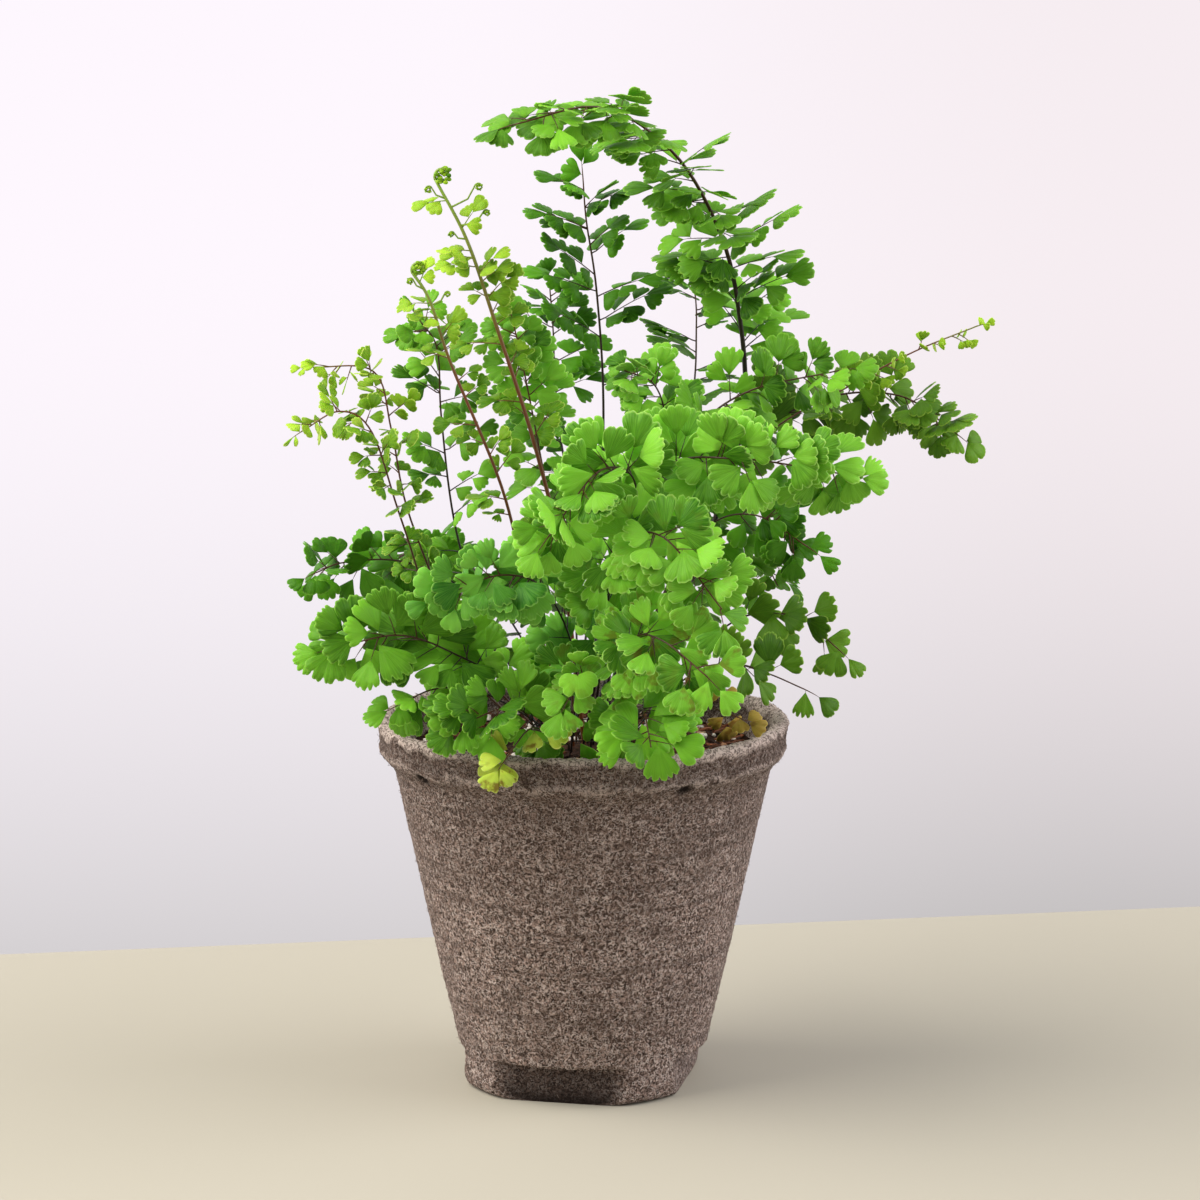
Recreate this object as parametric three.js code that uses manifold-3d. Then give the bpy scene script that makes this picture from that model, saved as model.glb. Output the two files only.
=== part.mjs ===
import * as THREE from "three";
import { mergeVertices } from "three/addons/utils/BufferGeometryUtils.js";
import Module from "manifold-3d";

// Potted maidenhair fern: a moulded peat-fibre pot, its soil and the fronds that stand in it.
// Millimetres, +Z up, the pot's underside at z = 0, the viewer at -Y.

const wasm = await Module();
wasm.setup();

const RADIAN = Math.PI / 180;

// Pot
const POT_SIDES = 40;
const POT_HEIGHT = 108;
const RIM_RADIUS = 60;
const RIM_INSIDE = 54;
const FLOOR = 3;
const FOOT_FLAT_DISTANCE = 31;
const FOOT_FLAT_HEIGHT = 11.5;
const FOOT_TURN = 12;
const FOOT_BLOCK = 30;
const DRAIN_RADIUS = 3;
const DRAIN_CIRCLE = 18;

// Soil
const SOIL_SIDES = 32;
const SOIL_CLEARANCE = 0.45;
const SOIL_TOP = 98.6;
const SOIL_RELIEF = 1.1;
const HOLE_FLOOR = 89;
const HOLE_CLEARANCE = 0.35;
const STEM_KNEE = 101;

// Fronds
const SITE_SPACING = 2.2;
const SITE_COUNT = 56;
const SITE_TURN = 137.508;
const CLUMP_RADIUS = 15;
const OWN_FOOT_CLEAR = 4;
const ROD_SIDES = 4;
const EXTRA_STEPS = 3;
const MEAN_RADIUS = 0.6;
const BLADE_HALF = 0.33;
const RIB_HALF = 0.5;
const ROOT_HALF = 0.15;
const TIP_RADIUS = 0.62;
const LEAF_SCALE = 1.15;
const CUP = 0.005;
const DROOP = 0.16;
const FAN_HALF = 0.42;
const SMALL_LEAF = 11.2;
const RIB_PITCH = 0.92;
const RING_MARGIN = 0.2;
const TIP_SUNK = 1.2;
const RIB_BARE = 2.2;
const SHORTEST_PINNA = 1.27;
const LEAN_TO_TIP = 32;
const COIL_STEPS = 7;
const COIL_TURN = 0.95;
const COIL_THICKNESS = 0.55;
const SAMPLE = 1.2;
const CLEAR = 2.1;
const CLEAR_OWN = 1.5;
const CLEAR_STEMS = 1.9;
const CLEAR_POT = 1.4;
const CELL = 3;
const ROOT_LENGTH = 4;

// Places that a pinna may take, the first clear one being used: its share of the full length,
// its swing towards the frond's tip and its lift out of the frond's plane, in degrees.
const PLACES = [
  [1, 0, 0], [1, 0, 12], [1, 0, -12], [1, 14, 0], [1, -14, 0],
  [0.86, 0, 0], [0.86, 0, 20], [0.86, 0, -20], [0.86, 14, 14], [0.86, -14, -14],
  [0.86, 14, -14], [0.86, -14, 14], [0.7, 0, 0], [0.7, 0, 28], [0.7, 0, -28],
  [0.7, 22, 0], [0.7, -22, 0], [0.55, 0, 0], [0.55, 0, 28], [0.55, 0, -28],
  [0.55, 24, 14], [0.55, -24, -14], [0.55, 24, -14], [0.55, -24, 14],
];

const TONES = {
  mid: 0x4f8a2c,
  dark: 0x2f6a2b,
  bright: 0x7cae3a,
  pale: 0xa6c95a,
  blue: 0x4f8f4a,
  yellow: 0xc3bd45,
  brown: 0x84803a,
};

// The fronds, the best seen first. Each has its bare share, its number of pinnae, the longest
// pinna's reach, a leaflet's length, the stipe's radius, the way that its pinnae spread, the way
// that its leaflets face, its way above the soil, and for a few the radius of the coiled tip or
// a foot of their own beside the clump.
const FRONDS = [
  { name: "tall_arch", tone: "mid", bare: 0.4, pinnae: 9, reach: 27, leaf: 10, stem: 1,
    spread: [1, -0.3, 0], face: [0.1, -0.5, 0.85],
    way: [[34, 18, 151], [47, 26, 191], [45, 24, 227], [38, 16, 251], [25, 2, 272], [5, -14, 285],
      [-19, -27, 281]] },
  { name: "front_main", tone: "bright", bare: 0.52, pinnae: 6, reach: 19, leaf: 10.5, stem: 0.7,
    spread: [0, -0.3, 1], face: [0, -0.85, 0.5],
    way: [[16, -22, 158], [23, -44, 187], [43, -58, 192], [72, -60, 188]] },
  { name: "front_main_left", tone: "bright", bare: 0.55, pinnae: 5, reach: 18, leaf: 11, stem: 0.65,
    spread: [0.3, -0.2, 1], face: [0, -0.9, 0.45],
    way: [[8, -26, 147], [15, -48, 182], [5, -60, 189], [-9, -74, 173]] },
  { name: "front_mid", tone: "bright", bare: 0.5, pinnae: 5, reach: 19, leaf: 11, stem: 0.65,
    spread: [0.4, 0, 1], face: [0.1, -0.9, 0.4],
    way: [[6, -30, 136], [10, -54, 166], [22, -68, 172], [38, -79, 154]] },
  { name: "front_lower", tone: "bright", bare: 0.5, pinnae: 4, reach: 16, leaf: 10.5, stem: 0.6,
    spread: [0.3, 0, 1], face: [0, -0.9, 0.4],
    way: [[8, -40, 124], [14, -60, 142], [22, -72, 144], [34, -82, 136]] },
  { name: "left_low", tone: "mid", bare: 0.42, pinnae: 5, reach: 17, leaf: 11, stem: 0.6,
    spread: [0, -0.4, 1], face: [-0.1, -0.85, 0.5],
    way: [[-19, -26, 121], [-34, -44, 134], [-50, -54, 142], [-68, -56, 139]] },
  { name: "left_mid", tone: "dark", bare: 0.42, pinnae: 5, reach: 17, leaf: 8.5, stem: 0.6,
    spread: [0, -0.5, 0.9], face: [-0.1, -0.75, 0.65],
    way: [[-25, 24, 123], [-38, 32, 141], [-54, 26, 149], [-70, 18, 150], [-78, 12, 148]] },
  { name: "right_far", tone: "dark", bare: 0.45, pinnae: 6, reach: 19, leaf: 9.5, stem: 0.7,
    spread: [0, -0.6, 0.8], face: [0.1, -0.7, 0.7],
    way: [[29, 26, 149], [46, 34, 181], [70, 34, 196], [93, 28, 198], [109, 21, 188]] },
  { name: "back_centre", tone: "dark", bare: 0.5, pinnae: 6, reach: 25, leaf: 8.5, stem: 0.7,
    spread: [1, 0.1, 0], face: [0, -0.4, 0.9],
    way: [[5, 30, 149], [6, 38, 195], [4, 36, 228], [1, 33, 249], [0, 31, 262]] },
  { name: "crozier_tall", tone: "pale", bare: 0.6, pinnae: 4, reach: 15, leaf: 6, stem: 0.85,
    spread: [1, -0.2, 0.1], face: [0, -0.6, 0.8], curl: 2.3,
    way: [[-6, -8, 155], [-14, -9, 190], [-25, -6, 224], [-33, -3, 247], [-42, 0, 264]] },
  { name: "crozier_left", tone: "pale", bare: 0.62, pinnae: 3, reach: 12, leaf: 6, stem: 0.7,
    spread: [1, -0.2, 0.1], face: [0, -0.6, 0.8], curl: 2,
    way: [[-15, -14, 145], [-23, -17, 178], [-37, -18, 213], [-43, -17, 231], [-48, -16, 239]] },
  { name: "right_slender", tone: "pale", bare: 0.55, pinnae: 4, reach: 10, leaf: 5, stem: 0.6,
    spread: [0, -0.6, 0.8], face: [-0.2, -0.7, 0.7],
    way: [[31, 10, 158], [52, 14, 187], [78, 14, 203], [96, 12, 213], [114, 8, 221]] },
  { name: "far_left_high", tone: "pale", bare: 0.5, pinnae: 4, reach: 14, leaf: 5.5, stem: 0.6,
    spread: [0.3, -0.6, 0.6], face: [0, -0.6, 0.8],
    way: [[-33, -6, 128], [-49, -14, 168], [-54, -18, 194], [-59, -18, 211], [-77, -16, 212]] },
  { name: "far_left_low", tone: "pale", bare: 0.48, pinnae: 4, reach: 13, leaf: 6, stem: 0.6,
    spread: [0.2, -0.6, 0.7], face: [0, -0.7, 0.7],
    way: [[-38, -14, 130], [-51, -24, 169], [-59, -28, 195], [-68, -28, 201], [-79, -26, 195]] },
  { name: "left_dark", tone: "mid", bare: 0.48, pinnae: 4, reach: 20, leaf: 7.5, stem: 0.65,
    spread: [1, -0.2, 0], face: [0, -0.55, 0.85],
    way: [[-27, 10, 128], [-37, 14, 160], [-41, 12, 193], [-42, 9, 214], [-47, 6, 223]] },
  { name: "right_upper", tone: "mid", bare: 0.48, pinnae: 4, reach: 20, leaf: 10, stem: 0.7,
    spread: [0, -0.6, 0.8], face: [0, -0.7, 0.7],
    way: [[21, 4, 165], [32, 2, 190], [47, -2, 203], [73, -8, 210]] },
  { name: "right_dark", tone: "dark", bare: 0.5, pinnae: 4, reach: 18, leaf: 9.5, stem: 0.6,
    spread: [0, -0.4, 1], face: [0.1, -0.8, 0.6],
    way: [[24, 14, 139], [36, 12, 161], [50, 6, 166], [65, -2, 158]] },
  { name: "right_mid", tone: "dark", bare: 0.42, pinnae: 4, reach: 16, leaf: 9.5, stem: 0.6,
    spread: [0, -0.4, 1], face: [0.1, -0.85, 0.5],
    way: [[32, 22, 121], [48, 28, 132], [64, 26, 132], [75, 20, 124]] },
  { name: "right_low", tone: "dark", bare: 0.4, pinnae: 4, reach: 14, leaf: 10, stem: 0.55,
    spread: [0, -0.5, 1], face: [0.1, -0.85, 0.5],
    way: [[28, 2, 117], [41, 2, 123], [53, -2, 121], [64, -6, 117]] },
  { name: "centre_left", tone: "blue", bare: 0.5, pinnae: 4, reach: 15, leaf: 9.5, stem: 0.6,
    spread: [0, -0.3, 1], face: [-0.1, -0.85, 0.5],
    way: [[-2, -34, 131], [-10, -52, 154], [-22, -60, 160], [-38, -64, 155]] },
  { name: "centre_bright", tone: "bright", bare: 0.6, pinnae: 4, reach: 15, leaf: 8, stem: 0.6,
    spread: [1, -0.3, 0.1], face: [0, -0.7, 0.7],
    way: [[-7, 4, 153], [-13, 4, 188], [-17, 4, 209], [-20, 3, 223]] },
  { name: "upper_bright", tone: "bright", bare: 0.55, pinnae: 3, reach: 15, leaf: 9, stem: 0.6,
    spread: [1, -0.4, 0.2], face: [0, -0.7, 0.7],
    way: [[20, 18, 163], [24, 16, 189], [21, 12, 203], [12, 8, 208]] },
  { name: "front_left", tone: "mid", bare: 0.5, pinnae: 3, reach: 13, leaf: 10.5, stem: 0.55,
    spread: [0, -0.5, 0.9], face: [-0.1, -0.8, 0.6],
    foot: [-13, -27], way: [[-14, -40, 114], [-20, -55, 122], [-32, -62, 119]] },
  { name: "left_rim", tone: "mid", bare: 0.5, pinnae: 3, reach: 13, leaf: 10.5, stem: 0.55,
    spread: [0, -0.5, 0.9], face: [-0.1, -0.8, 0.6],
    way: [[-18, -28, 115], [-30, -42, 124], [-41, -50, 126], [-50, -55, 123]] },
  { name: "front_right", tone: "mid", bare: 0.5, pinnae: 3, reach: 14, leaf: 12, stem: 0.55,
    spread: [1, 0, 0], face: [0, -0.85, 0.5],
    foot: [13, -31], way: [[15, -43, 116], [17, -60, 122], [19, -71, 114]] },
  { name: "yellow_front", tone: "yellow", bare: 0.5, pinnae: 2, reach: 12, leaf: 10, stem: 0.55,
    spread: [0.5, -0.3, 0.3], face: [0, -0.75, 0.65],
    foot: [-9, -33], way: [[-11, -43, 112], [-15, -58, 116], [-21, -68, 110]] },
  { name: "heart_front", tone: "bright", bare: 0.9, pinnae: 0, reach: 22, leaf: 9, stem: 0.5,
    spread: [1, 0, 0.3], face: [0, -0.9, 0.4],
    foot: [-4, -33], way: [[-2, -40, 113], [1, -50, 126], [0, -56, 132]] },
  { name: "brown_right", tone: "brown", bare: 0.5, pinnae: 2, reach: 12, leaf: 8, stem: 0.5,
    spread: [0, -0.5, 0.9], face: [0.2, -0.8, 0.5],
    foot: [22, -14], way: [[26, -20, 112], [34, -30, 117], [44, -36, 115]] },
  { name: "back_left", tone: "dark", bare: 0.55, pinnae: 3, reach: 20, leaf: 8, stem: 0.6,
    spread: [1, 0.2, 0], face: [0, -0.4, 0.9],
    way: [[-4, 40, 159], [-8, 48, 194], [-9, 50, 215], [-10, 50, 228]] },
  { name: "back_right", tone: "dark", bare: 0.52, pinnae: 4, reach: 23, leaf: 9, stem: 0.65,
    spread: [1, 0.2, 0], face: [0.1, 0.3, 0.9],
    way: [[20, 36, 150], [32, 52, 190], [34, 60, 216], [33, 64, 230]] },
  { name: "back_mid", tone: "dark", bare: 0.5, pinnae: 3, reach: 21, leaf: 9.5, stem: 0.65,
    spread: [1, 0, 0], face: [0, 0.55, 0.8],
    way: [[2, 44, 138], [0, 62, 164], [-4, 78, 168], [-6, 92, 158]] },
  { name: "back_low_left", tone: "dark", bare: 0.45, pinnae: 3, reach: 18, leaf: 9.5, stem: 0.6,
    spread: [0.6, 0.5, 0], face: [-0.3, 0.5, 0.8],
    way: [[-20, 38, 126], [-38, 56, 146], [-54, 68, 144], [-62, 74, 136]] },
  { name: "back_low_right", tone: "dark", bare: 0.45, pinnae: 3, reach: 18, leaf: 9.5, stem: 0.6,
    spread: [0.6, -0.5, 0], face: [0.3, 0.5, 0.8],
    way: [[22, 40, 126], [40, 58, 144], [54, 70, 142], [60, 78, 132]] },
];

function scatter(row, column) {
  const value = Math.sin(row * 12.9898 + column * 78.233) * 43758.5453;
  return value - Math.floor(value);
}

// Solids
function body(points, triangles) {
  const vertProperties = new Float32Array(points.flatMap((point) => point.toArray()));
  const triVerts = new Uint32Array(triangles.flat());
  return new wasm.Manifold(new wasm.Mesh({ numProp: 3, vertProperties, triVerts }));
}

function solidOf(geometry) {
  geometry.deleteAttribute("normal");
  geometry.deleteAttribute("uv");
  const merged = mergeVertices(geometry, 1e-4);
  const place = merged.getAttribute("position");
  const points = Array.from({ length: place.count }, (_, index) => (
    new THREE.Vector3().fromBufferAttribute(place, index)));
  const corners = Array.from(merged.index.array);
  const triangles = corners.filter((_, index) => index % 3 === 0)
    .map((_, index) => corners.slice(index * 3, index * 3 + 3))
    .filter(([a, b, c]) => a !== b && b !== c && c !== a);
  return body(points, triangles);
}

function turned(profile, sides) {
  const marks = profile.map(([radius, height]) => new THREE.Vector2(radius, height));
  return new THREE.LatheGeometry(marks, sides).rotateX(Math.PI / 2);
}

function plug(x, y, low, high, radius, sides) {
  const geometry = new THREE.CylinderGeometry(radius, radius, high - low, sides);
  return solidOf(geometry.rotateX(Math.PI / 2).translate(x, y, (low + high) / 2));
}

// Pot: turned in one piece, flats cut into the foot, four drain holes in the floor
const outside = [
  [0, 0], [34.4, 0], [36.2, 0.9], [36.8, 2.8], [36.8, 11.8], [37.6, 16], [41.7, 33], [54.9, 94],
  [57.4, 95.8], [59.6, 97.8], [RIM_RADIUS, 101], [59.9, 105.4],
];
const inside = [
  [58.3, 107.6], [56.4, POT_HEIGHT], [54.6, 106.6], [RIM_INSIDE, 100.6], [51.8, 99.4], [38.6, 33], [34.8, 16],
  [30, 13], [28, FLOOR], [0, FLOOR],
];
let pot = solidOf(turned([...outside, ...inside], POT_SIDES));
for (let quarter = 0; quarter < 4; quarter += 1) {
  const angle = (quarter * 90 - FOOT_TURN - 90) * RADIAN;
  const block = new THREE.BoxGeometry(FOOT_BLOCK, FOOT_BLOCK * 2, FOOT_BLOCK);
  block.translate(FOOT_FLAT_DISTANCE + FOOT_BLOCK / 2, 0, FOOT_FLAT_HEIGHT - FOOT_BLOCK / 2);
  block.rotateZ(angle);
  pot = pot.subtract(solidOf(block));
  const drain = angle + 45 * RADIAN;
  const [x, y] = [DRAIN_CIRCLE * Math.cos(drain), DRAIN_CIRCLE * Math.sin(drain)];
  pot = pot.subtract(plug(x, y, -1, FLOOR + 1, DRAIN_RADIUS, 12));
}

// Ways and rods: a frond's way is a smooth curve, and its stipe and rachis are a rod along it
function wayOf(points) {
  return new THREE.CatmullRomCurve3(points, false, "catmullrom", 0.5);
}

function headingAt(curve, at) {
  const before = curve.getPoint(Math.max(0, at - 0.01));
  return curve.getPoint(Math.min(1, at + 0.01)).sub(before).normalize();
}

function pointOn(centres, at) {
  // The rod's straight stretches start at its second ring, the knee.
  const steps = centres.length - 2;
  const step = Math.min(Math.floor(at * steps), steps - 1);
  return centres[step + 1].clone().lerp(centres[step + 2], at * steps - step);
}

function clearOfRings(at, centres) {
  // Ribs leave a straight stretch of the rod, away from its corners.
  const steps = centres.length - 2;
  const step = Math.min(Math.floor(at * steps), steps - 1);
  return (step + THREE.MathUtils.clamp(at * steps - step, RING_MARGIN, 1 - RING_MARGIN)) / steps;
}

function rod(centres, radii, spread, bareRings) {
  // Two of the rod's sides face along the spread, so that ribs leave through a flat side. Below
  // the ribs each ring turns with the ring above it, and the lowest two stand upright.
  const rings = [];
  const triangles = [];
  let across = spread;
  for (let index = centres.length - 1; index >= 0; index -= 1) {
    const before = centres[Math.max(0, index - 1)];
    const after = centres[Math.min(centres.length - 1, index + 1)];
    const standing = index < Math.min(2, bareRings);
    const heading = standing ? new THREE.Vector3(0, 0, 1) : after.clone().sub(before).normalize();
    const towards = index < bareRings ? across : spread;
    across = towards.clone().addScaledVector(heading, -towards.dot(heading)).normalize();
    const other = heading.clone().cross(across);
    const ring = [];
    for (let side = 0; side < ROD_SIDES; side += 1) {
      const angle = ((side + 0.5) / ROD_SIDES) * 2 * Math.PI;
      ring.push(centres[index].clone()
        .addScaledVector(across, radii[index] * Math.cos(angle))
        .addScaledVector(other, radii[index] * Math.sin(angle)));
    }
    rings.unshift(ring);
  }
  for (let ring = 0; ring + 1 < centres.length; ring += 1) {
    for (let side = 0; side < ROD_SIDES; side += 1) {
      const a = ring * ROD_SIDES + side;
      const b = ring * ROD_SIDES + ((side + 1) % ROD_SIDES);
      triangles.push([a, b, b + ROD_SIDES], [a, b + ROD_SIDES, a + ROD_SIDES]);
    }
  }
  const last = (centres.length - 1) * ROD_SIDES;
  for (let side = 1; side + 1 < ROD_SIDES; side += 1) {
    triangles.push([0, side + 1, side], [last, last + side, last + side + 1]);
  }
  return { points: rings.flat(), triangles };
}

// What is already placed, as points on the middle of each blade and stipe
const cells = new Map();

function cellOf(x, y, z) {
  return `${Math.floor(x / CELL)},${Math.floor(y / CELL)},${Math.floor(z / CELL)}`;
}

function remember(samples) {
  for (const sample of samples) {
    const key = cellOf(sample.x, sample.y, sample.z);
    if (!cells.has(key)) {
      cells.set(key, []);
    }
    cells.get(key).push(sample);
  }
}

function inPotOrSoil({ x, y, z }) {
  const radius = Math.hypot(x, y);
  const height = radius > RIM_INSIDE - 1 ? POT_HEIGHT + CLEAR_POT : STEM_KNEE;
  return radius < RIM_RADIUS + CLEAR_POT && z < height;
}

function around({ x, y, z }) {
  const steps = [-CELL, 0, CELL];
  return steps.flatMap((dx) => steps.flatMap((dy) => steps.flatMap((dz) => (
    cells.get(cellOf(x + dx, y + dy, z + dz)) ?? []))));
}

function touches(sample, other) {
  // Ribs of one frond may meet it and each other at their roots.
  const own = other.owner === sample.owner;
  if (own && sample.root && (other.stem || other.root)) {
    return false;
  }
  const limit = (own ? CLEAR_OWN : CLEAR) + (other.extra ?? 0);
  return Math.hypot(sample.x - other.x, sample.y - other.y, sample.z - other.z) < limit;
}

function isClear(samples) {
  return !samples.some((sample) => (
    inPotOrSoil(sample) || around(sample).some((other) => touches(sample, other))));
}

// Stipes: each takes the free site in the clump that is nearest below the way that it leans
const sites = Array.from({ length: SITE_COUNT }, (_, index) => {
  const radius = SITE_SPACING * Math.sqrt(index + 0.4);
  const angle = index * SITE_TURN * RADIAN;
  return [radius * Math.cos(angle), radius * Math.sin(angle) * 0.9 + 1];
});
const taken = new Set();

function nearOwnFoot(x, y) {
  return FRONDS.some(({ foot }) => foot && Math.hypot(x - foot[0], y - foot[1]) < OWN_FOOT_CLEAR);
}

function stipeOf(frond, owner, x, y) {
  const foot = new THREE.Vector3(x, y, HOLE_FLOOR);
  const knee = new THREE.Vector3(x, y, STEM_KNEE);
  const curve = wayOf([knee, ...frond.way.map((point) => new THREE.Vector3(...point))]);
  const steps = frond.way.length + EXTRA_STEPS;
  const centres = [foot, knee];
  const radii = [frond.stem, frond.stem];
  for (let step = 1; step <= steps; step += 1) {
    const at = step / steps;
    centres.push(curve.getPoint(at));
    radii.push(THREE.MathUtils.lerp(frond.stem, TIP_RADIUS, at));
  }
  const samples = [];
  const count = Math.ceil(curve.getLength());
  for (let index = 0; index <= count; index += 1) {
    const { x: sx, y: sy, z: sz } = pointOn(centres, index / count);
    const extra = THREE.MathUtils.lerp(frond.stem, TIP_RADIUS, index / count) - MEAN_RADIUS;
    samples.push({ x: sx, y: sy, z: sz, owner, extra, stem: true });
  }
  return { curve, centres, radii, samples };
}

function stemsCross(samples, others) {
  for (const other of others) {
    for (const a of samples) {
      for (const b of other) {
        const limit = CLEAR_STEMS + a.extra + b.extra;
        if (Math.hypot(a.x - b.x, a.y - b.y, a.z - b.z) < limit) {
          return true;
        }
      }
    }
  }
  return false;
}

const placedStems = [];
const stipes = FRONDS.map((frond, owner) => {
  const [leanX, leanY, height] = frond.way[0];
  const share = CLUMP_RADIUS / Math.hypot(leanX, leanY, height - STEM_KNEE);
  const free = sites
    .map(([x, y]) => ({ x, y, gap: Math.hypot(x - leanX * share, y - leanY * share) }))
    .filter(({ x, y }) => !taken.has(x) && !nearOwnFoot(x, y))
    .sort((a, b) => a.gap - b.gap);
  const order = frond.foot ? [{ x: frond.foot[0], y: frond.foot[1] }] : free;
  for (const { x, y } of order) {
    const stipe = stipeOf(frond, owner, x, y);
    if (!stemsCross(stipe.samples, placedStems)) {
      taken.add(x);
      placedStems.push(stipe.samples);
      remember(stipe.samples);
      return { ...stipe, x, y };
    }
  }
  throw new Error(`no free site for ${frond.name}`);
});

// Soil: uneven on top, with a plain hole for each stipe
function soilHeight(x, y) {
  const wave = Math.sin(x * 0.31 + 1.3) * Math.cos(y * 0.27) + Math.sin(x * 0.13 - y * 0.19 + 0.4);
  return SOIL_TOP + (SOIL_RELIEF * wave) / 2 + 0.8 * Math.exp(-(x * x + y * y) / 500);
}

const soilRadii = [51.1, 42, 31, 19];
const fill = turned([
  [0, FLOOR], [28 - SOIL_CLEARANCE, FLOOR], [30 - SOIL_CLEARANCE, 13 + SOIL_CLEARANCE],
  [34.8 - SOIL_CLEARANCE, 16 + SOIL_CLEARANCE], [38.6 - SOIL_CLEARANCE, 33],
  ...soilRadii.map((radius) => [radius, SOIL_TOP]), [0, SOIL_TOP],
], SOIL_SIDES);
const fillPlace = fill.getAttribute("position");
for (let index = 0; index < fillPlace.count; index += 1) {
  if (Math.abs(fillPlace.getZ(index) - SOIL_TOP) < 0.01) {
    fillPlace.setZ(index, soilHeight(fillPlace.getX(index), fillPlace.getY(index)));
  }
}
let soil = solidOf(fill);
FRONDS.forEach((frond, index) => {
  const { x, y } = stipes[index];
  const radius = (frond.stem + HOLE_CLEARANCE) / Math.cos(30 * RADIAN);
  soil = soil.subtract(plug(x, y, HOLE_FLOOR, STEM_KNEE + 2, radius, 6));
});

// Leaflets of one pinna in its own plane: u along the rib, s across it. On a short pinna they are
// smaller, so that one pair fits below the end leaflet and no two leaflets cross.
function pinnaOutline(length, fullLeaf) {
  const leaf = Math.min(fullLeaf, (length - RIB_BARE) / SHORTEST_PINNA);
  const tip = leaf * 0.9;
  const base = length - tip;
  const first = RIB_BARE + leaf * 0.12;
  const last = base - leaf * 0.25;
  const pitch = leaf * RIB_PITCH;
  const pairs = Math.floor((last - first) / pitch + 0.001) + 1;
  const slack = last - first - (pairs - 1) * pitch;
  const sideOf = (sign, shift) => {
    const edge = [];
    for (let index = 0; index < pairs; index += 1) {
      const at = first + index * pitch + shift;
      const size = leaf * (1 - 0.22 * (at / length));
      const angle = (66 - 8 * (at / length)) * RADIAN;
      const along = [Math.cos(angle), Math.sin(angle)];
      const over = [Math.sin(angle), -Math.cos(angle)];
      const mark = (reach, side) => [
        at + size * (along[0] * reach + over[0] * side),
        sign * (size * (along[1] * reach + over[1] * side)),
      ];
      edge.push([at - leaf * 0.13, sign * RIB_HALF], mark(0.84, -FAN_HALF));
      if (leaf > SMALL_LEAF) {
        edge.push(mark(1.02, -0.06));
      }
      edge.push(mark(0.8, FAN_HALF * 0.92), [at + leaf * 0.15, sign * RIB_HALF]);
    }
    return edge;
  };
  const fan = [
    [base + tip * 0.74, tip * 0.38], [length, tip * 0.14], [length - tip * 0.04, -tip * 0.2],
    [base + tip * 0.68, -tip * 0.4],
  ];
  const left = [[0, ROOT_HALF], ...sideOf(1, 0), [base, RIB_HALF]];
  const right = [
    [0, -ROOT_HALF], ...sideOf(-1, Math.min(0.45 * pitch, slack)), [base + 0.3, -RIB_HALF],
  ];
  return [...left, ...fan, ...right.reverse()];
}

function pinnaAt(base, along, normal, length, leaf) {
  const across = normal.clone().cross(along);
  const flat = pinnaOutline(length, leaf).map(([u, s]) => new THREE.Vector2(u, s)).reverse();
  const place = ({ x: u, y: s }, side) => base.clone()
    .addScaledVector(along, u)
    .addScaledVector(across, s)
    .add(new THREE.Vector3(0, 0, -DROOP * length * (Math.max(0, u) / length) ** 2))
    .addScaledVector(normal, side - CUP * s * s);
  const faces = THREE.ShapeUtils.triangulateShape(flat, []);
  return { flat, faces, place };
}

function bladeBody({ flat, faces, place }) {
  const count = flat.length;
  const points = [BLADE_HALF, -BLADE_HALF].flatMap((side) => flat.map((mark) => place(mark, side)));
  const top = faces.map(([a, b, c]) => {
    const turn = (flat[b].x - flat[a].x) * (flat[c].y - flat[a].y)
      - (flat[c].x - flat[a].x) * (flat[b].y - flat[a].y);
    return turn > 0 ? [a, b, c] : [a, c, b];
  });
  const triangles = [...top, ...top.map(([a, b, c]) => [a + count, c + count, b + count])];
  const clockwise = THREE.ShapeUtils.isClockWise(flat);
  for (let index = 0; index < count; index += 1) {
    const next = (index + 1) % count;
    const [a, b] = clockwise ? [next, index] : [index, next];
    triangles.push([a, a + count, b + count], [a, b + count, b]);
  }
  return body(points, triangles);
}

function bladeSamples({ flat, faces, place }, owner) {
  const samples = [];
  for (const [a, b, c] of faces) {
    const edges = [flat[a].distanceTo(flat[b]), flat[b].distanceTo(flat[c]), flat[c].distanceTo(flat[a])];
    const parts = Math.ceil(Math.max(...edges) / SAMPLE);
    for (let i = 0; i <= parts; i += 1) {
      for (let j = 0; i + j <= parts; j += 1) {
        const mark = new THREE.Vector2()
          .addScaledVector(flat[a], i / parts)
          .addScaledVector(flat[b], j / parts)
          .addScaledVector(flat[c], (parts - i - j) / parts);
        const { x, y, z } = place(mark, 0);
        samples.push({ x, y, z, owner, root: mark.x < ROOT_LENGTH });
      }
    }
  }
  return samples;
}

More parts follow.
